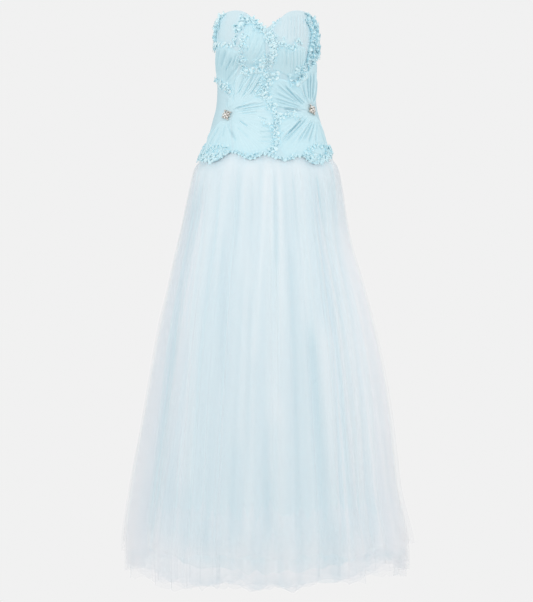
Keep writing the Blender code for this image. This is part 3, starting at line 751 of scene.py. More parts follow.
def build_lining():
    degrees = degrees_round(LINING_COLUMNS)
    ripple = uneven(LINING_RIPPLE, np.radians(degrees))
    wavy = uneven(LINING_HEM_WAVES, np.radians(degrees))
    heights = skirt_heights(through(LINING_HEM, 1, np.abs(degrees)) + wavy, degrees)
    degrees = np.broadcast_to(degrees, heights.shape)
    turn = np.radians(degrees)
    inset, gather_depth = all_through(SKIRT_LAYERS, heights)
    shown = tulle_folds(degrees, heights)
    broad = LINING_BROAD * np.cos(LINING_FOLDS * turn + LINING_DRIFT * np.sin(2 * turn))
    folded = gather_depth * (broad + LINING_RIPPLED * ripple)
    folded = folded - LINING_CREASED * creases(degrees, heights) - LINING_FOLDED * shown
    places = skirt_form(degrees, heights, inset, folded)
    mesh = grid_mesh("lining", places, closed=True)
    hem = places[0, None, :, 2]
    pale = (HEM_PALE * smooth_step((hem + HEM_PALE_BAND - heights) / HEM_PALE_OVER)
            + TOP_PALE * smooth_step((heights - TOP_PALE_FROM) / TOP_PALE_OVER))
    # painted shade down in the folds, painted light and shade on the ripples
    set_tone(mesh, LINING_TONE - shown / LINING_FOLD_SHADE + RIPPLE_LIGHT_AND_SHADE * ripple + pale)
    made = add_piece("lining", mesh, LINING, ("lining_front", "lining_back"))
    made.visible_shadow = False
    cut_of(places, HEM_ROW)


# ---------------- the folds on the bodice

# Each runs from its wide end to its narrow one; a ridge has a negative depth.
# turn, height, turn, height, half_width, depth
BODICE_FOLDS = (
    # left cup and the petal beside it
    (-76, 0.141, -79, 0.178, 0.0065, 0.0006),
    (-62, 0.140, -57, 0.180, 0.0060, 0.0004),
    (-50, 0.150, -47, 0.185, 0.0045, 0.0004),
    (-32, 0.155, -36, 0.130, 0.0022, 0.0009),
    (-4, 0.118, -19, 0.082, 0.0026, 0.0009),
    (-9, 0.150, -25, 0.088, 0.0034, 0.0007),
    (-17, 0.166, -30, 0.096, 0.0030, 0.0008),
    (-25, 0.172, -32, 0.124, 0.0026, 0.0006),
    (-5, 0.136, -14, 0.098, 0.0024, -0.0005),
    # left side
    (-57, 0.118, -68, 0.072, 0.0055, 0.0017),
    (-48, 0.096, -60, 0.064, 0.0022, 0.0017),
    (-42, 0.103, -50, 0.070, 0.0022, 0.0015),
    (-38, 0.083, -54, 0.044, 0.0026, 0.0012),
    (-70, 0.120, -77, 0.074, 0.0035, 0.0014),
    (-84, 0.118, -90, 0.066, 0.0030, 0.0012),
    (-96, 0.116, -99, 0.060, 0.0026, 0.0010),
    (-46, 0.068, -62, 0.034, 0.0024, 0.0010),
    # left waist
    (-23, 0.060, -46, 0.000, 0.0026, 0.0017),
    (-16, 0.063, -38, -0.006, 0.0028, 0.0020),
    (-6, 0.050, -27, 0.000, 0.0018, 0.0024),
    (-33, 0.050, -43, 0.014, 0.0026, 0.0015),
    (-48, 0.045, -49, -0.018, 0.0030, 0.0012),
    (-11, 0.060, -32, 0.004, 0.0022, 0.0015),
    (-28, 0.058, -42, 0.010, 0.0020, 0.0012),
    (-4, 0.032, -20, 0.000, 0.0018, 0.0012),
    (-60, 0.000, -57, -0.028, 0.0040, 0.0008),
    # left hip
    (1, -0.017, -49, -0.030, 0.0022, 0.0016),
    (3, -0.024, -40, -0.034, 0.0020, 0.0018),
    (-2, -0.030, -43, -0.039, 0.0020, 0.0014),
    (-12, -0.040, -38, -0.044, 0.0020, 0.0012),
    (-12, -0.012, -46, -0.027, 0.0020, -0.0014),
    (-25, -0.077, -38, -0.059, 0.0020, 0.0020),
    (2, -0.061, -14, -0.050, 0.0020, 0.0014),
    (10, -0.088, -11, -0.091, 0.0018, 0.0014),
    (8, -0.102, -9, -0.104, 0.0018, 0.0014),
    (7, -0.115, -12, -0.114, 0.0020, 0.0012),
    (8, -0.076, -8, -0.076, 0.0018, 0.0010),
    (-36, -0.115, -47, -0.082, 0.0026, 0.0014),
    (-41, -0.106, -53, -0.065, 0.0024, 0.0010),
    (-54, -0.104, -55, -0.068, 0.0024, 0.0010),
    (-20, -0.110, -40, -0.074, 0.0026, 0.0010),
    # left hem
    (-72, -0.118, -62, -0.070, 0.0040, 0.0014),
    (-86, -0.108, -66, -0.064, 0.0034, 0.0012),
    (-62, -0.136, -57, -0.080, 0.0030, 0.0010),
    # right cup
    (35, 0.206, 30, 0.128, 0.0016, 0.0008),
    (40, 0.208, 35, 0.128, 0.0018, 0.0010),
    (45, 0.209, 40, 0.130, 0.0018, 0.0011),
    (50, 0.208, 45, 0.131, 0.0018, 0.0010),
    (54, 0.207, 50, 0.132, 0.0016, 0.0010),
    (58, 0.204, 55, 0.132, 0.0018, 0.0010),
    (30, 0.200, 24, 0.138, 0.0018, 0.0005),
    (24, 0.190, 18, 0.146, 0.0018, 0.0004),
    # right underbust
    (24, 0.110, 24, 0.066, 0.0020, 0.0006),
    (29, 0.115, 30, 0.068, 0.0022, 0.0011),
    (34, 0.116, 36, 0.050, 0.0024, 0.0012),
    (38, 0.117, 40, 0.047, 0.0020, 0.0011),
    (43, 0.118, 45, 0.058, 0.0024, 0.0012),
    (48, 0.119, 49, 0.062, 0.0022, 0.0012),
    (52, 0.115, 52, 0.070, 0.0018, 0.0009),
    # right side
    (74, 0.068, 70, -0.010, 0.0030, 0.0024),
    (89, 0.060, 71, -0.016, 0.0030, 0.0030),
    (61, 0.059, 64, -0.010, 0.0022, 0.0019),
    (66, 0.066, 66, -0.012, 0.0022, 0.0022),
    (55, 0.036, 61, -0.015, 0.0022, 0.0016),
    (100, 0.060, 75, -0.014, 0.0030, 0.0022),
    (80, 0.078, 72, 0.000, 0.0022, -0.0016),
    # right waist
    (27, 0.029, 55, -0.024, 0.0020, 0.0024),
    (15, 0.029, 51, -0.020, 0.0024, 0.0014),
    (12, 0.009, 48, -0.019, 0.0024, 0.0012),
    (10, -0.005, 52, -0.027, 0.0022, 0.0012),
    (24, -0.030, 53, -0.036, 0.0022, 0.0026),
    (37, 0.013, 57, -0.019, 0.0022, 0.0016),
    (46, 0.030, 60, -0.013, 0.0024, 0.0014),
    (14, -0.014, 50, -0.031, 0.0018, 0.0010),
    # right hip
    (16, -0.119, 54, -0.043, 0.0024, 0.0024),
    (20, -0.119, 58, -0.047, 0.0022, 0.0020),
    (37, -0.116, 62, -0.054, 0.0026, 0.0019),
    (43, -0.114, 64, -0.056, 0.0026, 0.0020),
    (49, -0.119, 66, -0.058, 0.0024, 0.0019),
    (58, -0.116, 70, -0.057, 0.0024, 0.0015),
    (74, -0.114, 73, -0.055, 0.0030, 0.0014),
    (88, -0.106, 77, -0.052, 0.0030, 0.0014),
    (29, -0.130, 60, -0.052, 0.0026, -0.0010),
    (24, -0.098, 56, -0.046, 0.0020, 0.0010),
)
FOLD_LIP = 0.55             # a fold's raised lip, against its depth
LIP_AWAY = 1.7              # how many half-widths off it stands
FOLD_WIDEN, FOLD_DEEPEN = 1.30, 1.45
FOLD_NARROWS = 0.5          # the share of its width that a fold loses towards its narrow end
FOLD_END_SHARE = 0.22
FOLD_REACH = 4              # in half-widths
FOLD_SHADE_DEPTH = 0.0120    # painted shade: a fold of this depth takes the tone from 1 to 0

# The pleats of the back panels, on the turns that no petal covers.
BACK_TURNS, BACK_SEED = (102, 258), 31
BACK_STEPS, BACK_DRIFT = (3.2, 7.5), 1
BACK_TOPS, BACK_FEET = (0.004, 0.012), (0.006, 0.060)   # inside the panels' edges
BACK_WIDTHS, BACK_DEPTHS = (0.0018, 0.0034), (0.0007, 0.0016)


def back_folds():
    """Soft upright pleats, like those of the right cup."""
    random = np.random.default_rng(BACK_SEED)
    turn = BACK_TURNS[0]
    while turn < BACK_TURNS[1]:
        turn += random.uniform(*BACK_STEPS)
        top = edge_height("neckline", 180 - abs(180 - turn)) - random.uniform(*BACK_TOPS)
        foot = bodice_edge(turn) + random.uniform(*BACK_FEET)
        yield (turn, float(top), turn + random.uniform(-BACK_DRIFT, BACK_DRIFT), float(foot),
               random.uniform(*BACK_WIDTHS), random.uniform(*BACK_DEPTHS))


ALL_BODICE_FOLDS = (*BODICE_FOLDS, *back_folds())


def relief(turn, height):
    """How far the folds lift the bodice's cloth."""
    lift = np.zeros(np.shape(turn))
    for wide_turn, wide_height, end_turn, end_height, half_width, depth in ALL_BODICE_FOLDS:
        x = wrapped(turn - wide_turn) * METRES_A_DEGREE
        z = height - wide_height
        ahead = np.array([(end_turn - wide_turn) * METRES_A_DEGREE, end_height - wide_height])
        length = np.linalg.norm(ahead)
        ahead = ahead / length
        share = (x * ahead[0] + z * ahead[1]) / length
        width = FOLD_WIDEN * half_width * (1 - FOLD_NARROWS * np.clip(share, 0, 1))
        across = (z * ahead[0] - x * ahead[1]) / width
        near = (share > 0) & (share < 1) & (np.abs(across) < FOLD_REACH)
        ends = smooth_step(share / FOLD_END_SHARE) * smooth_step((1 - share) / FOLD_END_SHARE)
        shape = np.exp(-across ** 2) - FOLD_LIP * np.exp(-(across - LIP_AWAY) ** 2)
        lift = lift - np.where(near, FOLD_DEEPEN * depth * ends * shape, 0)
    return lift


def fold_painted_shading(turn, height):
    """Painted shade and light: deeper in colour down in a fold, and paler on its lip."""
    return relief(turn, height) / FOLD_SHADE_DEPTH


# ---------------- the bodice

# name, tone, from_turn, to_turn, lower_edge, upper_edge, columns, rows
PANELS = (
    ("cup_left", 0.70, -FRONT_EDGE, 0, "underbust", "neckline", 87, 80),
    ("cup_right", 0.74, 0, FRONT_EDGE, "underbust", "neckline", 100, 80),
    ("bodice_front", 0.60, -FRONT_EDGE, FRONT_EDGE, "bodice_edge", "underbust", 130, 110),
    ("bodice_side_left", 0.60, -BACK_EDGE, -FRONT_EDGE, "bodice_edge", "neckline", 56, 140),
    ("bodice_side_right", 0.60, FRONT_EDGE, BACK_EDGE, "bodice_edge", "neckline", 56, 140),
    ("bodice_back_left", 0.60, -180, -BACK_EDGE, "bodice_edge", "neckline", 64, 110),
    ("bodice_back_right", 0.60, BACK_EDGE, 180, "bodice_edge", "neckline", 64, 110),
)
PANEL_TONE = 0.60           # of every panel at its lower edge
PANEL_FADE = 0.25           # the share of its height over which a panel comes to its own tone
BELOW_BUST_PAINTED_SHADE, LOW_OVER = 0.16, 0.03                   # painted shade: how much deeper below the bust
BODICE_SIDE_SHADE, SIDE_FROM, SIDE_OVER = 0.16, 50, 35    # and painted shade round at the sides
HALF_SEAM = 0.02            # degrees
PANEL_TRIM = 0.00003        # how far a panel's cloth stops short of its edges
PANEL_SINK = 0.0002         # and lies inside the solid's face
PANEL_CLOTH = 0.0016
CRINKLE = (0.00010, 31, 90, 150)    # size, seed, fewest, most
CRINKLE_ENDS_UP, CRINKLE_ENDS_ROUND = 8, 14         # how steeply it grows from a panel's borders


def side_shade_share(turn):
    """Where the sides' painted shade goes: from 0 in front to 1 at the side and behind."""
    return smooth_step((np.abs(wrapped(turn)) - SIDE_FROM) / SIDE_OVER)


def build_panel(name, tone, start, end, lower, upper, columns, rows):
    turns = np.linspace(start + HALF_SEAM, end - HALF_SEAM, columns + 1)
    part = np.linspace(0.0, 1.0, rows + 1)[:, None]
    across = np.linspace(0.0, 1.0, columns + 1)
    low, high = edge_height(lower, turns) + PANEL_TRIM, edge_height(upper, turns) - PANEL_TRIM
    heights = low * (1 - part) + high * part
    grid = np.broadcast_to(turns, heights.shape)
    rim_up = np.minimum(1, CRINKLE_ENDS_UP * np.minimum(part, 1 - part))
    rim_round = np.minimum(1, CRINKLE_ENDS_ROUND * np.minimum(across, 1 - across))
    crinkle = uneven(CRINKLE, np.radians(turns)) * rim_round * rim_up
    places = on_corset(grid, heights, crinkle - PANEL_SINK + relief(grid, heights))
    mesh = grid_mesh(name, places)
    sharpen_border(mesh)
    # Painted shade below the bust, round the sides and down in the folds, over the panel's own tone
    own = PANEL_TONE + (tone - PANEL_TONE) * smooth_step(part / PANEL_FADE)
    own = own - BELOW_BUST_PAINTED_SHADE * smooth_step((UNDERBUST - heights) / LOW_OVER)
    set_tone(mesh, own + fold_painted_shading(grid, heights) - BODICE_SIDE_SHADE * side_shade_share(grid))
    made = add_piece(name + "_cloth", mesh, BODICE, (name,), PANEL_CLOTH, -1)
    cut_of(places)


# ---------------- the petals

# A petal's tone carries painted shade: the side and right-hand petals are darker.
# name, pleats, out, tone, seed, inner edge (turn, height), outer edge (turn, height)
PETALS = (
    ("petal_left_cup", 12, 0.0012, 0.56, 41,
     ((-34, 0.082), (-30, 0.074), (-16, 0.070), (0, 0.075)),
     ((-34, 0.166), (-27, 0.184), (-14, 0.170), (-2, 0.152))),
    ("petal_left_side", 18, 0.0012, 0.37, 42,
     ((-110, 0.042), (-88, 0.050), (-72, 0.040), (-60, 0.022), (-46, 0.032)),
     ((-112, 0.120), (-88, 0.131), (-70, 0.133), (-56, 0.126), (-38, 0.104))),
    ("petal_left_waist", 20, 0.0014, 0.66, 43,
     ((-60, -0.032), (-55, -0.031), (-50, -0.034)),
     ((-52, 0.028), (-43, 0.052), (-30, 0.066), (-14, 0.068), (0, 0.066), (2, 0.040),
      (-4, 0.016), (-10, 0.000))),
    ("petal_left_hip", 30, 0.0017, 0.68, 44,
     ((-48, -0.040), (-48, -0.046), (-49, -0.053)),
     ((-30, -0.008), (-10, -0.001), (4, -0.010), (10, -0.030), (14, -0.060), (10, -0.094),
      (11, -0.124), (2, -0.137), (-12, -0.148), (-24, -0.148), (-38, -0.136))),
    ("petal_left_hem", 22, 0.0012, 0.56, 45,
     ((-51, -0.057), (-56, -0.058), (-60, -0.055)),
     ((-38, -0.136), (-48, -0.148), (-62, -0.152), (-76, -0.142), (-90, -0.122), (-102, -0.110))),
    ("petal_right_underbust", 14, 0.0012, 0.64, 46,
     ((12, 0.112), (27, 0.120), (36, 0.116), (44, 0.123), (57, 0.120)),
     ((9, 0.062), (20, 0.056), (33, 0.046), (45, 0.040), (57, 0.062))),
    ("petal_right_side", 18, 0.0013, 0.42, 47,
     ((62, -0.016), (68, -0.014), (75, -0.018)),
     ((53, 0.044), (60, 0.066), (70, 0.082), (84, 0.096), (110, 0.086))),
    ("petal_right_waist", 24, 0.0015, 0.46, 48,
     ((62, -0.020), (60, -0.027), (60, -0.032)),
     ((54, 0.040), (40, 0.038), (28, 0.042), (14, 0.042), (4, 0.030), (2, 0.006), (4, -0.014),
      (14, -0.024), (26, -0.030))),
    ("petal_right_hip", 30, 0.0017, 0.55, 49,
     ((60, -0.038), (65, -0.043), (71, -0.042)),
     ((32, -0.040), (20, -0.056), (15, -0.088), (15, -0.126), (20, -0.152), (36, -0.146),
      (48, -0.158), (62, -0.148), (80, -0.128), (106, -0.112))),
)
PETAL_COLUMN, PETAL_ROW = 0.0013, 0.0017    # the grid's spacing
PETAL_LEAST_ROWS, PETAL_SAMPLES = 24, 400
PLEAT_DEPTH = 0.0008
PLEAT_STEEPEST = 0.30       # the most that a pleat is deep, against its width
PLEAT_WIDTHS, PLEAT_SIZES = (0.55, 1.45), (0.15, 1.0)
PLEAT_LEAN, PLEAT_NARROWS = 0.75, 1.3       # below 1 a pleat leans, and above 1 it is narrow
PLEAT_WAVER = (0.2, 100, 1, 4)      # size, seed, fewest, most
PLEAT_TWIST = 9             # how far the waver runs on across a petal, in radians
PETAL_RIM = 0.10            # the share of a petal over which its edge comes down to the corset
PETAL_RIM_ACROSS = 0.06     # the same share, towards its sides
PETAL_PUFF = 0.0014         # how far its middle stands up
PETAL_SINK = 0.0005         # how far its rim lies under the corset's face
PETAL_FADE, PETAL_FADE_ACROSS = 0.3, 0.2    # the shares over which it comes to its own tone
# painted light on a pleat's crest and painted shade in its hollow
PLEAT_PAINTED_SHADING = 0.10


def pleats_at(count, places, random):
    """Uneven pleats: how high their folds stand at places across the petal."""
    widths = random.uniform(*PLEAT_WIDTHS, count)
    ends = np.concatenate([[0.0], np.cumsum(widths)]) / widths.sum()
    sizes = random.uniform(*PLEAT_SIZES, count)
    which = np.clip(np.searchsorted(ends, places, side="right") - 1, 0, count - 1)
    share = (places - ends[which]) / np.diff(ends)[which]
    return sizes[which] * np.sin(math.pi * np.clip(share, 0, 1) ** PLEAT_LEAN) ** PLEAT_NARROWS


def resampled(line, places):
    """The points of an evenly walked line at shares of its length."""
    at = np.linspace(0, 1, len(line))
    return np.stack([np.interp(places, at, column) for column in line.T], -1)


def petal_grid(inner, outer):
    """The (turn, height) grid of a petal, fanned from its inner to its outer edge, and the shares of
    its places up and across."""
    start, end = along(inner, PETAL_SAMPLES), along(outer, PETAL_SAMPLES)
    wide = max(length_on_corset(start), length_on_corset(end))
    middle = np.stack([start[PETAL_SAMPLES // 2], end[PETAL_SAMPLES // 2]])
    across = np.linspace(0, 1, round(wide / PETAL_COLUMN) + 1)
    rows = max(PETAL_LEAST_ROWS, round(length_on_corset(middle) / PETAL_ROW))
    up = np.linspace(0.0, 1.0, rows)[:, None, None]
    grid = resampled(start, across) * (1 - up) + resampled(end, across) * up
    right, rise = (grid[:, -1] - grid[:, 0]).mean(0), (grid[-1] - grid[0]).mean(0)
    if right[0] * rise[1] - right[1] * rise[0] < 0:     # its faces would look inwards
        grid, across = grid[:, ::-1], across[::-1]
    return grid[..., 0], grid[..., 1], up[:, :, 0], across


def build_petal(name, pleats, out, tone, seed, inner, outer):
    turns, heights, up, across = petal_grid(inner, outer)
    rise = pleats_at(pleats, across, np.random.default_rng(seed))
    spacing = row_lengths(on_corset(turns, heights))[:, None] / pleats
    depth = np.minimum(PLEAT_DEPTH, PLEAT_STEEPEST * spacing)
    waver = uneven(PLEAT_WAVER, 2 * math.pi * up + PLEAT_TWIST * across, seed)
    rim = off_the_ends(up, PETAL_RIM) * off_the_ends(across, PETAL_RIM_ACROSS)
    puff = PETAL_PUFF * np.sin(math.pi * up) * np.sin(math.pi * across)
    pleated = depth * rise * (1 - PLEAT_WAVER[0] + waver)
    lift = (out + puff + pleated) * rim - PETAL_SINK * (1 - rim)
    places = on_corset(turns, heights, lift + relief(turns, heights))
    mesh = grid_mesh(name, places)
    # The petal's tone (painted shade on the side and right-hand petals), with painted light and shade on
    # its folds and pleats
    own = (tone - PANEL_TONE) * off_the_ends(up, PETAL_FADE)
    own = PANEL_TONE + own * off_the_ends(across, PETAL_FADE_ACROSS)
    set_tone(mesh, own + fold_painted_shading(turns, heights) + PLEAT_PAINTED_SHADING * (rise - 0.5))
    made = add_piece(name + "_pleated", mesh, CHIFFON, (name,))
    cut_of(places)


# ---------------- the ruffles

def on_the_edge(*turns):
    """A route along the bodice's edge, whose heights are filled in later."""
    return tuple((turn, None) for turn in turns)


# pitch, height, rows_of_frill, route of (turn, height) for each strip of a ruffle
RUFFLES = {
    "left_cup": (
        (0.0170, 0.0095, 1, ((-45, 0.156), (-42, 0.172), (-37, 0.186), (-29, 0.194))),
        (0.0170, 0.0090, 1, ((-39, 0.154), (-35, 0.168), (-30, 0.179), (-26, 0.191))),
        (0.0095, 0.0055, 1, ((-44, 0.150), (-45, 0.136), (-43, 0.118))),
    ),
    "left_neck": (
        (0.0125, 0.0080, 2, ((-24, 0.190), (-17, 0.178), (-10, 0.166), (-2, 0.154))),
    ),
    "left_underarm": (
        (0.0100, 0.0060, 1, ((-106, 0.127), (-88, 0.131), (-72, 0.135), (-58, 0.129), (-46, 0.123))),
        (0.0120, 0.0090, 1,
         ((-63, 0.206), (-73, 0.197), (-80, 0.181), (-84, 0.160), (-84, 0.140), (-82, 0.128))),
        (0.0110, 0.0070, 1, ((-76, 0.196), (-88, 0.178), (-93, 0.158), (-92, 0.136))),
    ),
    "left_underbust": (
        (0.0090, 0.0055, 1,
         ((-34, 0.150), (-36, 0.132), (-38, 0.112), (-36, 0.098), (-33, 0.088), (-27, 0.087))),
    ),
    "middle_underbust": (
        (0.0130, 0.0085, 2, ((-36, 0.076), (-28, 0.063), (-19, 0.067), (-8, 0.066), (0, 0.074))),
    ),
    "middle_cups": (
        (0.0095, 0.0060, 3,
         ((-1, 0.150), (4, 0.140), (9, 0.124), (12, 0.110), (9, 0.097), (3, 0.086), (4, 0.075))),
        (0.0090, 0.0060, 1, ((22, 0.189), (16, 0.180), (10, 0.168), (4, 0.156))),
    ),
    "right_underbust": (
        (0.0100, 0.0065, 1, ((20, 0.127), (27, 0.121), (35, 0.118), (42, 0.126), (51, 0.130))),
    ),
    "right_side": (
        (0.0110, 0.0075, 1,
         ((62, 0.198), (64, 0.176), (66, 0.157), (64, 0.135), (60, 0.113), (59, 0.095), (57, 0.078))),
        (0.0120, 0.0085, 1,
         ((69, 0.203), (73, 0.182), (76, 0.158), (73, 0.134), (68, 0.112), (63, 0.092))),
        (0.0130, 0.0085, 1,
         ((76, 0.199), (84, 0.186), (89, 0.168), (87, 0.144), (83, 0.121), (76, 0.103), (67, 0.084))),
    ),
    "right_front": (
        (0.0150, 0.0090, 1,
         ((58, 0.068), (50, 0.067), (52, 0.052), (46, 0.040), (38, 0.042), (31, 0.050))),
        (0.0110, 0.0070, 1, ((56, 0.060), (54, 0.046), (44, 0.034))),
    ),
    "left_side": (
        (0.0095, 0.0042, 1, ((-106, 0.046), (-88, 0.051), (-76, 0.044), (-67, 0.037), (-62, 0.028))),
        (0.0095, 0.0065, 2, ((-61, 0.028), (-56, 0.018), (-58, 0.008))),
    ),
    "middle_waist": (
        (0.0100, 0.0070, 2, ((-5, 0.060), (0, 0.048), (1, 0.033), (-4, 0.017), (-13, 0.002))),
        (0.0110, 0.0070, 1, ((10, 0.060), (16, 0.050), (11, 0.041), (4, 0.034))),
    ),
    "middle_front": (
        (0.0095, 0.0060, 2,
         ((-10, -0.004), (1, -0.004), (4, -0.017), (8, -0.026), (12, -0.040), (16, -0.052))),
        (0.0095, 0.0055, 1, ((4, -0.017), (12, -0.022), (19, -0.022))),
    ),
    "middle_hip": (
        (0.0100, 0.0060, 2,
         ((16, -0.056), (12, -0.072), (10, -0.088), (12, -0.104), (13, -0.118), (8, -0.131),
          (2, -0.138))),
        (0.0085, 0.0045, 1, ((-10, -0.060), (-2, -0.069), (4, -0.074), (7, -0.088))),
    ),
    "right_waist": (
        (0.0110, 0.0060, 1, ((20, -0.045), (27, -0.049), (34, -0.050), (42, -0.051))),
    ),
    "hem_left": (
        (0.0110, 0.0052, 3,
         ((-94, -0.130), (-80, -0.147), (-70, -0.152), (-60, -0.152), (-52, -0.150), (-46, -0.141))),
        (0.0100, 0.0060, 1, on_the_edge(-94, -86, -78, -70, -62, -54, -47)),
        (0.0100, 0.0060, 1,
         ((-86, -0.134), (-74, -0.139), (-66, -0.129), (-57, -0.121), (-50, -0.124))),
    ),
    "hem_middle": (
        (0.0100, 0.0048, 1, on_the_edge(-47, -42, -36, -29, -22, -15, -8, -2, 4, 9)),
        (0.0095, 0.0050, 1, ((-34, -0.138), (-26, -0.146), (-18, -0.150), (-9, -0.144))),
    ),
    "hem_right": (
        (0.0105, 0.0048, 1, on_the_edge(9, 15, 21, 27, 33, 38, 42)),
    ),
    "hem_side": (
        (0.0100, 0.0055, 1, on_the_edge(42, 46, 50, 56, 62, 68, 75, 83, 92)),
        (0.0110, 0.0065, 1,
         ((40, -0.140), (48, -0.131), (56, -0.122), (66, -0.121), (78, -0.120), (92, -0.123))),
        (0.0115, 0.0055, 2,
         ((92, -0.124), (79, -0.134), (71, -0.142), (60, -0.152), (50, -0.163), (45, -0.158),
          (41, -0.147))),
    ),
}

# Short curls strewn over a ruffle's thick parts, up to half_width off a spine of (turn, height).
# how_many, seed, pitch, height, half_width, spine
CURLS = {
    "left_underarm": (8, 1, 0.0085, 0.0060, 0.0055,
        ((-70, 0.202), (-81, 0.186), (-87, 0.162), (-85, 0.134))),
    "left_cup": (5, 2, 0.0090, 0.0065, 0.0050, ((-43, 0.165), (-37, 0.182), (-28, 0.190))),
    "left_neck": (5, 3, 0.0085, 0.0060, 0.0050, ((-23, 0.187), (-12, 0.169), (-3, 0.155))),
    "left_underbust": (4, 4, 0.0080, 0.0050, 0.0035, ((-35, 0.146), (-38, 0.112), (-33, 0.090))),
    "middle_underbust": (7, 5, 0.0085, 0.0060, 0.0050,
        ((-34, 0.074), (-24, 0.065), (-12, 0.067), (-2, 0.072))),
    "middle_cups": (14, 6, 0.0085, 0.0060, 0.0085,
        ((-2, 0.152), (4, 0.140), (11, 0.120), (9, 0.098), (2, 0.080))),
    "right_underbust": (6, 7, 0.0080, 0.0055, 0.0050, ((19, 0.127), (32, 0.118), (50, 0.129))),
    "right_side": (22, 8, 0.0090, 0.0070, 0.0150,
        ((68, 0.200), (75, 0.176), (77, 0.146), (71, 0.118), (63, 0.090))),
    "right_front": (6, 9, 0.0085, 0.0065, 0.0055, ((56, 0.066), (50, 0.050), (38, 0.043))),
    "left_side": (3, 10, 0.0080, 0.0045, 0.0035, ((-74, 0.042), (-66, 0.034), (-58, 0.016))),
    "middle_waist": (10, 11, 0.0085, 0.0060, 0.0075,
        ((8, 0.056), (3, 0.040), (-3, 0.022), (-12, 0.004))),
    "middle_front": (7, 12, 0.0080, 0.0055, 0.0060, ((-4, -0.004), (6, -0.022), (14, -0.046))),
    "middle_hip": (7, 13, 0.0080, 0.0050, 0.0050,
        ((14, -0.058), (11, -0.086), (12, -0.116), (4, -0.134))),
    "right_waist": (7, 14, 0.0080, 0.0050, 0.0045, ((18, -0.045), (30, -0.050), (42, -0.052))),
    "hem_left": (12, 15, 0.0090, 0.0050, 0.0080,
        ((-90, -0.133), (-74, -0.141), (-60, -0.138), (-50, -0.136))),
    "hem_side": (7, 16, 0.0085, 0.0060, 0.0060, ((44, -0.148), (56, -0.156), (76, -0.134))),
}
CURL_POINTS = 4
CURL_BEND = 1.4             # the most that a strewn curl bends, in radians
CURL_LENGTHS = (0.014, 0.028)
CURLS_INSIDE = 0.006        # how far below the neckline they stay
BACK_RUFFLE_TURNS = (98, 107, 116, 125, 134, 143, 152, 161, 170, 178)
BACK_RUFFLE_RAISE = 0.003
BACK_RUFFLE = (0.0110, 0.0060)      # pitch, height

# Ruffles painted paler or deeper in colour than the rest, as painted light and shade.
RUFFLE_PAINTED_LIGHT_AND_SHADE = {"left_underarm": 0.22, "hem_left": 0.06, "left_side": 0.10, "middle_waist": 0.12,
                "middle_underbust": 0.12, "middle_cups": 0.08, "right_side": -0.14,
                "right_front": -0.06}
HEM_TONES = (0.62, 0.45)    # the middle and the spread of the tones, painted shade and light with them, along the lower edge
# Painted shade at a strip's root and painted light towards its free edge.
ROOT_SHADED_TONE, EDGE_PAINTED_LIGHT = 0.36, 0.46
LIT_FLANK_PAINTED_LIGHT = 0.14           # painted light: how much paler one flank of a curl is
LIT_FLANK_PHASE = 0.8            # which flank, the lit one, in radians

ROUTE_SAMPLES, CURL_SAMPLES, FRILL_ROWS, LEAST_WAVES = 60, 14, 5, 3
PITCH_SHARE = 1.05          # how far apart the curls come to stand, against a strip's pitch
WANDER, WANDER_ENDS = 0.0022, 0.15  # how far a ruffle strays from its route, and over what share
FRILL_ROOT = -0.0003        # its root, just under the corset's face
FRILL_RISE = 0.0018         # how far its next row stands out, to clear the petals
FRILL_WALL = 0.0005
EDGE_RAISE = 0.0022         # the root of a ruffle on the bodice's edge, over the edge
EDGE_HANG = 0.75            # how far it leans down over the edge, against its height
ROW_GAP = 0.0060
ROOT_CURL = 1.0             # how far the root winds, in radians off its route
ROOT_SWING = 0.22           # how far it swings aside, against the edge
END_SIZE, END_WAVES = 0.45, 1.5     # a ruffle's height at its ends, and the waves that it grows over

# What changes from curl to curl, between two values.
CURL_SHIFTS = (-0.45, 0.45)
CURL_WANDERS = (-1, 1)
CURL_SIZES = (0.62, 1.25)
CURL_LEANS = (-0.7, 0.7)
CURL_SWINGS = (0.75, 1.2)
EDGE_CURLS = (1.55, 2.05)
CURL_TONES = (-0.10, 0.10)


def meander(phase, curl):
    """A winding line: how far it runs ahead of its mean and to the side, for waves 1 long."""
    angle = curl * np.cos(phase)
    step = np.gradient(phase) / (2 * math.pi)
    ahead, side = np.cumsum(np.cos(angle) * step), np.cumsum(np.sin(angle) * step)
    turns = (phase - phase[0]) / (2 * math.pi)
    pitch = ahead[-1] / turns[-1]
    return (ahead - pitch * turns) / pitch, (side - side.mean()) / pitch


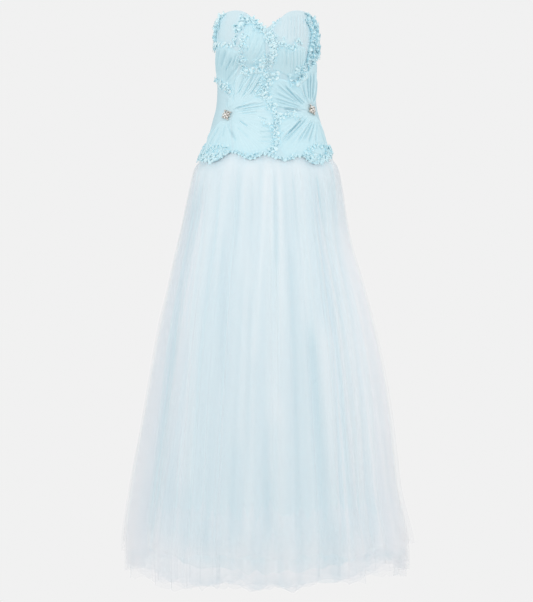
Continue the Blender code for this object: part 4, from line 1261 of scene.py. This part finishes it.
def frill_grid(route, seed, shift, pitch, height, hanging):
    """The places and tones of a strip that stands on its root along a route, and winds."""
    random = np.random.default_rng(seed)
    length = length_on_corset(along(route, ROUTE_SAMPLES))
    waves = max(LEAST_WAVES, round(length / (PITCH_SHARE * pitch)))
    pitch = length / waves
    share = np.linspace(0, 1, waves * CURL_SAMPLES + 1)

    def from_curl_to_curl(low, high):
        knots = random.uniform(low, high, waves + 3)
        return through([(i / (waves + 2), knot) for i, knot in enumerate(knots)], 1, share)

    warp = from_curl_to_curl(*CURL_SHIFTS)
    phase = 2 * math.pi * (waves * share) + warp + random.uniform(0, 6)
    turns, heights = along(route, len(share)).T
    wander = off_the_ends(share, WANDER_ENDS) * WANDER
    turns = turns + wander / METRES_A_DEGREE * from_curl_to_curl(*CURL_WANDERS)
    heights = heights + wander * from_curl_to_curl(*CURL_WANDERS)
    size = from_curl_to_curl(*CURL_SIZES)
    lean = height * from_curl_to_curl(*CURL_LEANS) - hanging
    swing = from_curl_to_curl(*CURL_SWINGS)
    edge_curl = from_curl_to_curl(*EDGE_CURLS)
    # a random tone from curl to curl, and painted light on one flank of each curl
    random_tone_and_lit_flank = from_curl_to_curl(*CURL_TONES) + LIT_FLANK_PAINTED_LIGHT * np.sin(phase + LIT_FLANK_PHASE)

    base = on_corset(turns, heights, FRILL_ROOT + np.clip(relief(turns, heights), 0, None))
    normal = corset_normal(turns, heights)
    ahead = np.gradient(base, axis=0)
    ahead /= np.linalg.norm(ahead, axis=-1, keepdims=True)
    side = np.cross(normal, ahead)
    near_end = smooth_step(np.minimum(share, 1 - share) * waves / END_WAVES)
    ends = END_SIZE + (1 - END_SIZE) * near_end
    rows, tones = [], []
    for part in np.linspace(0, 1, FRILL_ROWS):
        # painted shade at the root, painted light towards the free edge
        tones.append(ROOT_SHADED_TONE + EDGE_PAINTED_LIGHT * part + random_tone_and_lit_flank)
        on, off = meander(phase, ROOT_CURL + (edge_curl - ROOT_CURL) * part)
        out = height * math.sin(0.5 * math.pi * part) * size * ends + (FRILL_RISE if part else 0)
        swung = off * pitch * (ROOT_SWING + (1 - ROOT_SWING) * part) * swing
        aside = swung + lean * part ** 2 + shift
        rows.append(base + ahead * (on * pitch * part)[:, None] + side * aside[:, None]
                    + normal * out[:, None])
    return np.array(rows), np.array(tones)


def on_edge(route):
    """A route whose points have heights, where None is the bodice's edge."""
    return [(turn, float(bodice_edge(np.float64(turn))) + EDGE_RAISE if height is None else height)
            for turn, height in route]


def strewn(how_many, seed, half_width, spine):
    """Short bent routes in all directions beside a spine."""
    random = np.random.default_rng(seed)
    for turn, height in along(spine, how_many):
        away = random.uniform(-1, 1, 2) * half_width
        angle, bend = random.uniform(0, 2 * math.pi), random.uniform(-CURL_BEND, CURL_BEND)
        place = np.array([turn * METRES_A_DEGREE, height]) + away
        route = []
        for _ in range(CURL_POINTS):
            turn = place[0] / METRES_A_DEGREE
            highest = float(edge_height("neckline", turn)) - CURLS_INSIDE
            lowest = float(bodice_edge(turn)) + EDGE_RAISE
            route.append((turn, min(max(place[1], lowest), highest)))
            step = random.uniform(*CURL_LENGTHS) / (CURL_POINTS - 1)
            place = place + step * np.array([math.cos(angle), math.sin(angle)])
            angle += bend / (CURL_POINTS - 1)
        yield route


def strip_seed(name, number, row, route):
    """A seed of its own for each strip."""
    return 1000 + 101 * number + 31 * row + 7 * int(abs(route[0][0])) + 13 * len(name)


def build_ruffle(name, strips, tone=0.0):
    """One mesh of all the strips of a ruffle: their pitch, height, rows and routes."""
    shape = bmesh.new()
    long, tones = 0.0, []
    for number, (pitch, height, rows, route) in enumerate(strips):
        for row in range(rows):
            shift = (row - 0.5 * (rows - 1)) * ROW_GAP
            hanging = EDGE_HANG * height if route[0][1] is None else 0.0
            grid, shades = frill_grid(on_edge(route), strip_seed(name, number, row, route), shift,
                                      pitch, height, hanging)
            long += line_length(grid[-1])
            if "_hem_" in name:
                shades = HEM_TONES[0] + HEM_TONES[1] * (shades - HEM_TONES[0])
            # plus the ruffle's painted light or shade
            tones.append(shades.ravel() + tone)
            verts = [[shape.verts.new(place) for place in line] for line in grid]
            for lower, upper in zip(verts, verts[1:]):
                for j in range(len(lower) - 1):
                    shape.faces.new((lower[j], lower[j + 1], upper[j + 1], upper[j]))
    mesh = mesh_of(name, shape)
    mesh.shade_smooth()
    set_tone(mesh, np.concatenate(tones))
    made = add_piece(name + "_frill", mesh, FRILL, (name,), FRILL_WALL)
    made.visible_shadow = False


def build_ruffles():
    for name, strips in RUFFLES.items():
        strips = list(strips)
        if name in CURLS:
            how_many, seed, pitch, height, half_width, spine = CURLS[name]
            strips += [(pitch, height, 1, route)
                       for route in strewn(how_many, seed, half_width, spine)]
        build_ruffle("ruffle_" + name, strips, RUFFLE_PAINTED_LIGHT_AND_SHADE.get(name, 0.0))
    for side, word in ((-1, "left"), (1, "right")):
        turns = side * np.array(BACK_RUFFLE_TURNS, float)
        route = np.stack([turns, bodice_edge(turns) + BACK_RUFFLE_RAISE], -1)
        build_ruffle("ruffle_hem_back_" + word, [(*BACK_RUFFLE, 1, route)])


# ---------------- the brooches and the zip

# name, turn, height, seed
BROOCHES = (("brooch_left", -55.5, -0.0445, 3), ("brooch_right", 66.0, -0.0300, 4))
BROOCH_BASE = 0.0022        # the plate's foot over the corset, on the petals
PLATE_FOOT, PLATE_TOP, PLATE_THICK = 0.0088, 0.0072, 0.0012
# how many, how far out, radius, stretched, raised, turned
STONES = (
    (1, 0.0000, 0.0034, 1.00, 0.0028, 0.0),
    (6, 0.0066, 0.0024, 1.50, 0.0014, 0.2),
    (6, 0.0103, 0.0017, 1.00, 0.0006, 0.7),
    (4, 0.0122, 0.0017, 1.60, 0.0002, 0.3),
)
STONE_SIDES = 8
# The rings of a stone's points: how wide and how high, against its radius, and turned by how many sides.
STONE_RINGS = ((1.0, 0.0, 0.0), (1.0, 0.12, 0.0), (0.80, 0.40, 0.5), (0.48, 0.58, 0.0),
               (0.75, -0.25, 0.5))
FACET_PAINTED_GLINTS = (0.0, 0.0, 0.25, 0.5, 0.8, 1.0, 1.0, 1.0)
# Painted reflections and glints: the share of each facet's colour, picked at random
STONE_JITTER = 0.12         # radians
STONE_TIP, TIPPED_AT = 0.35, 0.0118     # radians outwards, at this distance from the middle
STONE_RAISE = 0.0012        # a stone's girdle over its seat
# Against the stone's radius: the cup's foot and rim, and how far out its prongs are.
CUP_FOOT, CUP_RIM, PRONGS_OUT = 0.6, 1.12, 1.02
CUP_DEPTH, CUP_RAISE = 0.0022, 0.0002
PRONGS, PRONG_RADIUS, PRONG_RAISE = 4, 0.00038, 0.0017

TOOTH = (0.0016, 0.0011, 0.0008)
TOOTH_PITCH = 0.0015
TEETH_MARGIN = 0.002        # plain tape above and below the teeth
TEETH_APART = 0.0007        # half the distance between the two rows
TEETH_INSIDE = 0.0017       # inside the seam's face


def shifted(x, y, z):
    """The matrix of a move."""
    return Matrix.Translation((x, y, z))


def add_gem(shape, matrix, radius, random, tones):
    """A faceted stone: its girdle, crown and table, as a hull of its points."""
    verts = []
    for reach, rise, half in STONE_RINGS:
        for i in range(STONE_SIDES):
            angle = 2 * math.pi * (i + half) / STONE_SIDES
            place = Vector((reach * math.cos(angle), reach * math.sin(angle), rise)) * radius
            verts.append(shape.verts.new(matrix @ place))
    before = set(shape.faces)
    hull = bmesh.ops.convex_hull(shape, input=verts)
    loose = [v for v in hull["geom_interior"] if isinstance(v, bmesh.types.BMVert)]
    bmesh.ops.delete(shape, geom=loose, context="VERTS")
    for face in shape.faces:
        if face not in before:
            # a painted reflection or glint on each facet
            face[tones] = float(random.choice(FACET_PAINTED_GLINTS))


def add_cup(shape, seat, radius):
    """The metal cup under a stone, with its prongs."""
    bmesh.ops.create_cone(shape, cap_ends=True, segments=10, radius1=CUP_FOOT * radius,
                          radius2=CUP_RIM * radius, depth=CUP_DEPTH,
                          matrix=seat @ shifted(0, 0, CUP_RAISE))
    for i in range(PRONGS):
        angle = 2 * math.pi * (i + 0.5) / PRONGS
        spot = shifted(PRONGS_OUT * radius * math.cos(angle), PRONGS_OUT * radius * math.sin(angle),
                       PRONG_RAISE)
        bmesh.ops.create_icosphere(shape, subdivisions=1, radius=PRONG_RADIUS, matrix=seat @ spot)


def build_brooch(name, turn, height, seed):
    random = np.random.default_rng(seed)
    normal = Vector(corset_normal(np.float64(turn), np.float64(height)))
    foot = Vector(on_corset(turn, height, BROOCH_BASE))
    on_plate = Matrix.Translation(foot) @ normal.to_track_quat("Z", "Y").to_matrix().to_4x4()
    stones, setting = bmesh.new(), bmesh.new()
    tones = stones.faces.layers.float.new("tone")
    for count, reach, radius, stretch, rise, turned in STONES:
        tip = Matrix.Rotation(STONE_TIP * reach / TIPPED_AT, 4, "Y")
        stretched = Matrix.Diagonal((stretch, 1, 1, 1))
        for i in range(count):
            angle = 2 * math.pi * (i + turned) / count + random.uniform(-STONE_JITTER, STONE_JITTER)
            seat = on_plate @ Matrix.Rotation(angle, 4, "Z") @ shifted(reach, 0, rise) @ tip
            add_gem(stones, seat @ shifted(0, 0, STONE_RAISE) @ stretched, radius, random, tones)
            add_cup(setting, seat @ stretched, radius)
    bmesh.ops.create_cone(setting, cap_ends=True, segments=20, radius1=PLATE_FOOT,
                          radius2=PLATE_TOP, depth=PLATE_THICK, matrix=on_plate)
    for part, shape, material in (("stones", stones, CRYSTAL), ("setting", setting, METAL)):
        add_piece(name + "_" + part, mesh_of(name + "_" + part, shape), material, (name,))


def build_zip():
    """The tape keeps its solid; the coil's teeth lie on its inner face."""
    low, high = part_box("zip_back")
    bpy.data.objects["zip_back"].material_slots[0].material = TAPE
    shape = bmesh.new()
    for i in range(int((high[2] - low[2] - 2 * TEETH_MARGIN) / TOOTH_PITCH)):
        height = low[2] + TEETH_MARGIN + i * TOOTH_PITCH
        face = on_corset(180.0, height, -BODICE_WALL - 3 * SEAM - TEETH_INSIDE)
        for side in (-1, 1):
            place = shifted(side * TEETH_APART, face[1], height + side * TOOTH_PITCH / 4)
            bmesh.ops.create_cube(shape, size=1.0, matrix=place @ Matrix.Diagonal((*TOOTH, 1)))
    add_piece("zip_teeth", mesh_of("zip_teeth", shape), TAPE)


# ---------------- stage, light and camera

BACKDROP = (0.879, 0.879, 0.879)
SKY, SKY_STRENGTH = (0.98, 0.99, 1.0), 0.66
CAMERA_DISTANCE = 4.6
CAMERA_HEIGHT = -0.5025
PICTURE_HEIGHT = 1.505      # what the picture takes in at the gown's middle
SENSOR = 36.0
FLOOR, FLOOR_RADIUS = -1.200, 12.0
MOST_LAYERS = 32            # how many layers of net the light is followed through

WHITE = (1.0, 1.0, 1.0)
# name, place, size, power, aimed at this height, colour
LIGHTS = (
    ("key", (-1.6, -3.6, 1.7), 2.4, 52.0, -0.35, WHITE),
    ("fill", (2.4, -3.2, 0.4), 2.8, 22.0, -0.35, WHITE),
    ("left", (-4.0, -0.9, 1.1), 3.0, 32.0, 0.10, WHITE),
    ("right", (4.0, -0.9, 1.1), 3.0, 38.0, 0.10, (1.0, 0.965, 0.955)),
    ("rim", (0.6, 3.4, 1.8), 2.4, 30.0, -0.35, WHITE),
)


def build_world():
    """Soft light all round; the camera sees an even backdrop in its place."""
    world = bpy.data.worlds.new("studio")
    bpy.context.scene.world = world
    world.use_nodes = True
    tree = world.node_tree
    seen = tree.nodes["Background"]
    seen.inputs["Color"].default_value = (*BACKDROP, 1)
    light = add_node(tree, "ShaderNodeBackground", Color=(*SKY, 1), Strength=SKY_STRENGTH)
    path = add_node(tree, "ShaderNodeLightPath")
    mix = add_node(tree, "ShaderNodeMixShader", {0: path.outputs["Is Camera Ray"],
                                                 1: light.outputs[0], 2: seen.outputs[0]})
    tree.links.new(mix.outputs[0], tree.nodes["World Output"].inputs["Surface"])


def build_floor():
    shape = bmesh.new()
    bmesh.ops.create_circle(shape, cap_ends=True, segments=64, radius=FLOOR_RADIUS)
    mesh = mesh_of("floor", shape)
    material = bpy.data.materials.new("floor")
    material.use_nodes = True
    tree = material.node_tree
    tree.nodes.remove(tree.nodes["Principled BSDF"])
    glow = add_node(tree, "ShaderNodeEmission", Color=(*BACKDROP, 1))
    tree.links.new(glow.outputs[0], tree.nodes["Material Output"].inputs["Surface"])
    mesh.materials.append(material)
    floor = placed("floor", mesh)
    floor.location.z = FLOOR
    floor.visible_diffuse = floor.visible_glossy = floor.visible_shadow = False


def build_light(name, place, size, power, aim_height, colour):
    lamp = bpy.data.lights.new(name, "AREA")
    lamp.shape = "DISK"
    lamp.size = size
    lamp.energy = power
    lamp.color = colour
    made = placed(name, lamp)
    made.location = place
    aim = Vector((0, 0, aim_height)) - Vector(place)
    made.rotation_euler = aim.to_track_quat("-Z", "Y").to_euler()


def build_camera():
    lens = bpy.data.cameras.new("camera")
    lens.sensor_width = SENSOR
    lens.lens = SENSOR * CAMERA_DISTANCE / PICTURE_HEIGHT
    camera = placed("camera", lens)
    camera.location = (0, -CAMERA_DISTANCE, CAMERA_HEIGHT)
    camera.rotation_euler = (math.radians(90), 0, 0)
    bpy.context.scene.camera = camera


# ---------------- putting it together

for ply in TULLE_PLIES:
    build_tulle(*ply)
build_lining()
for panel in PANELS:
    build_panel(*panel)
for petal in PETALS:
    build_petal(*petal)
build_ruffles()
for brooch in BROOCHES:
    build_brooch(*brooch)
build_zip()

build_world()
build_floor()
for light in LIGHTS:
    build_light(*light)
build_camera()
bpy.context.scene.view_settings.view_transform = "Standard"
bpy.context.scene.cycles.transparent_max_bounces = MOST_LAYERS
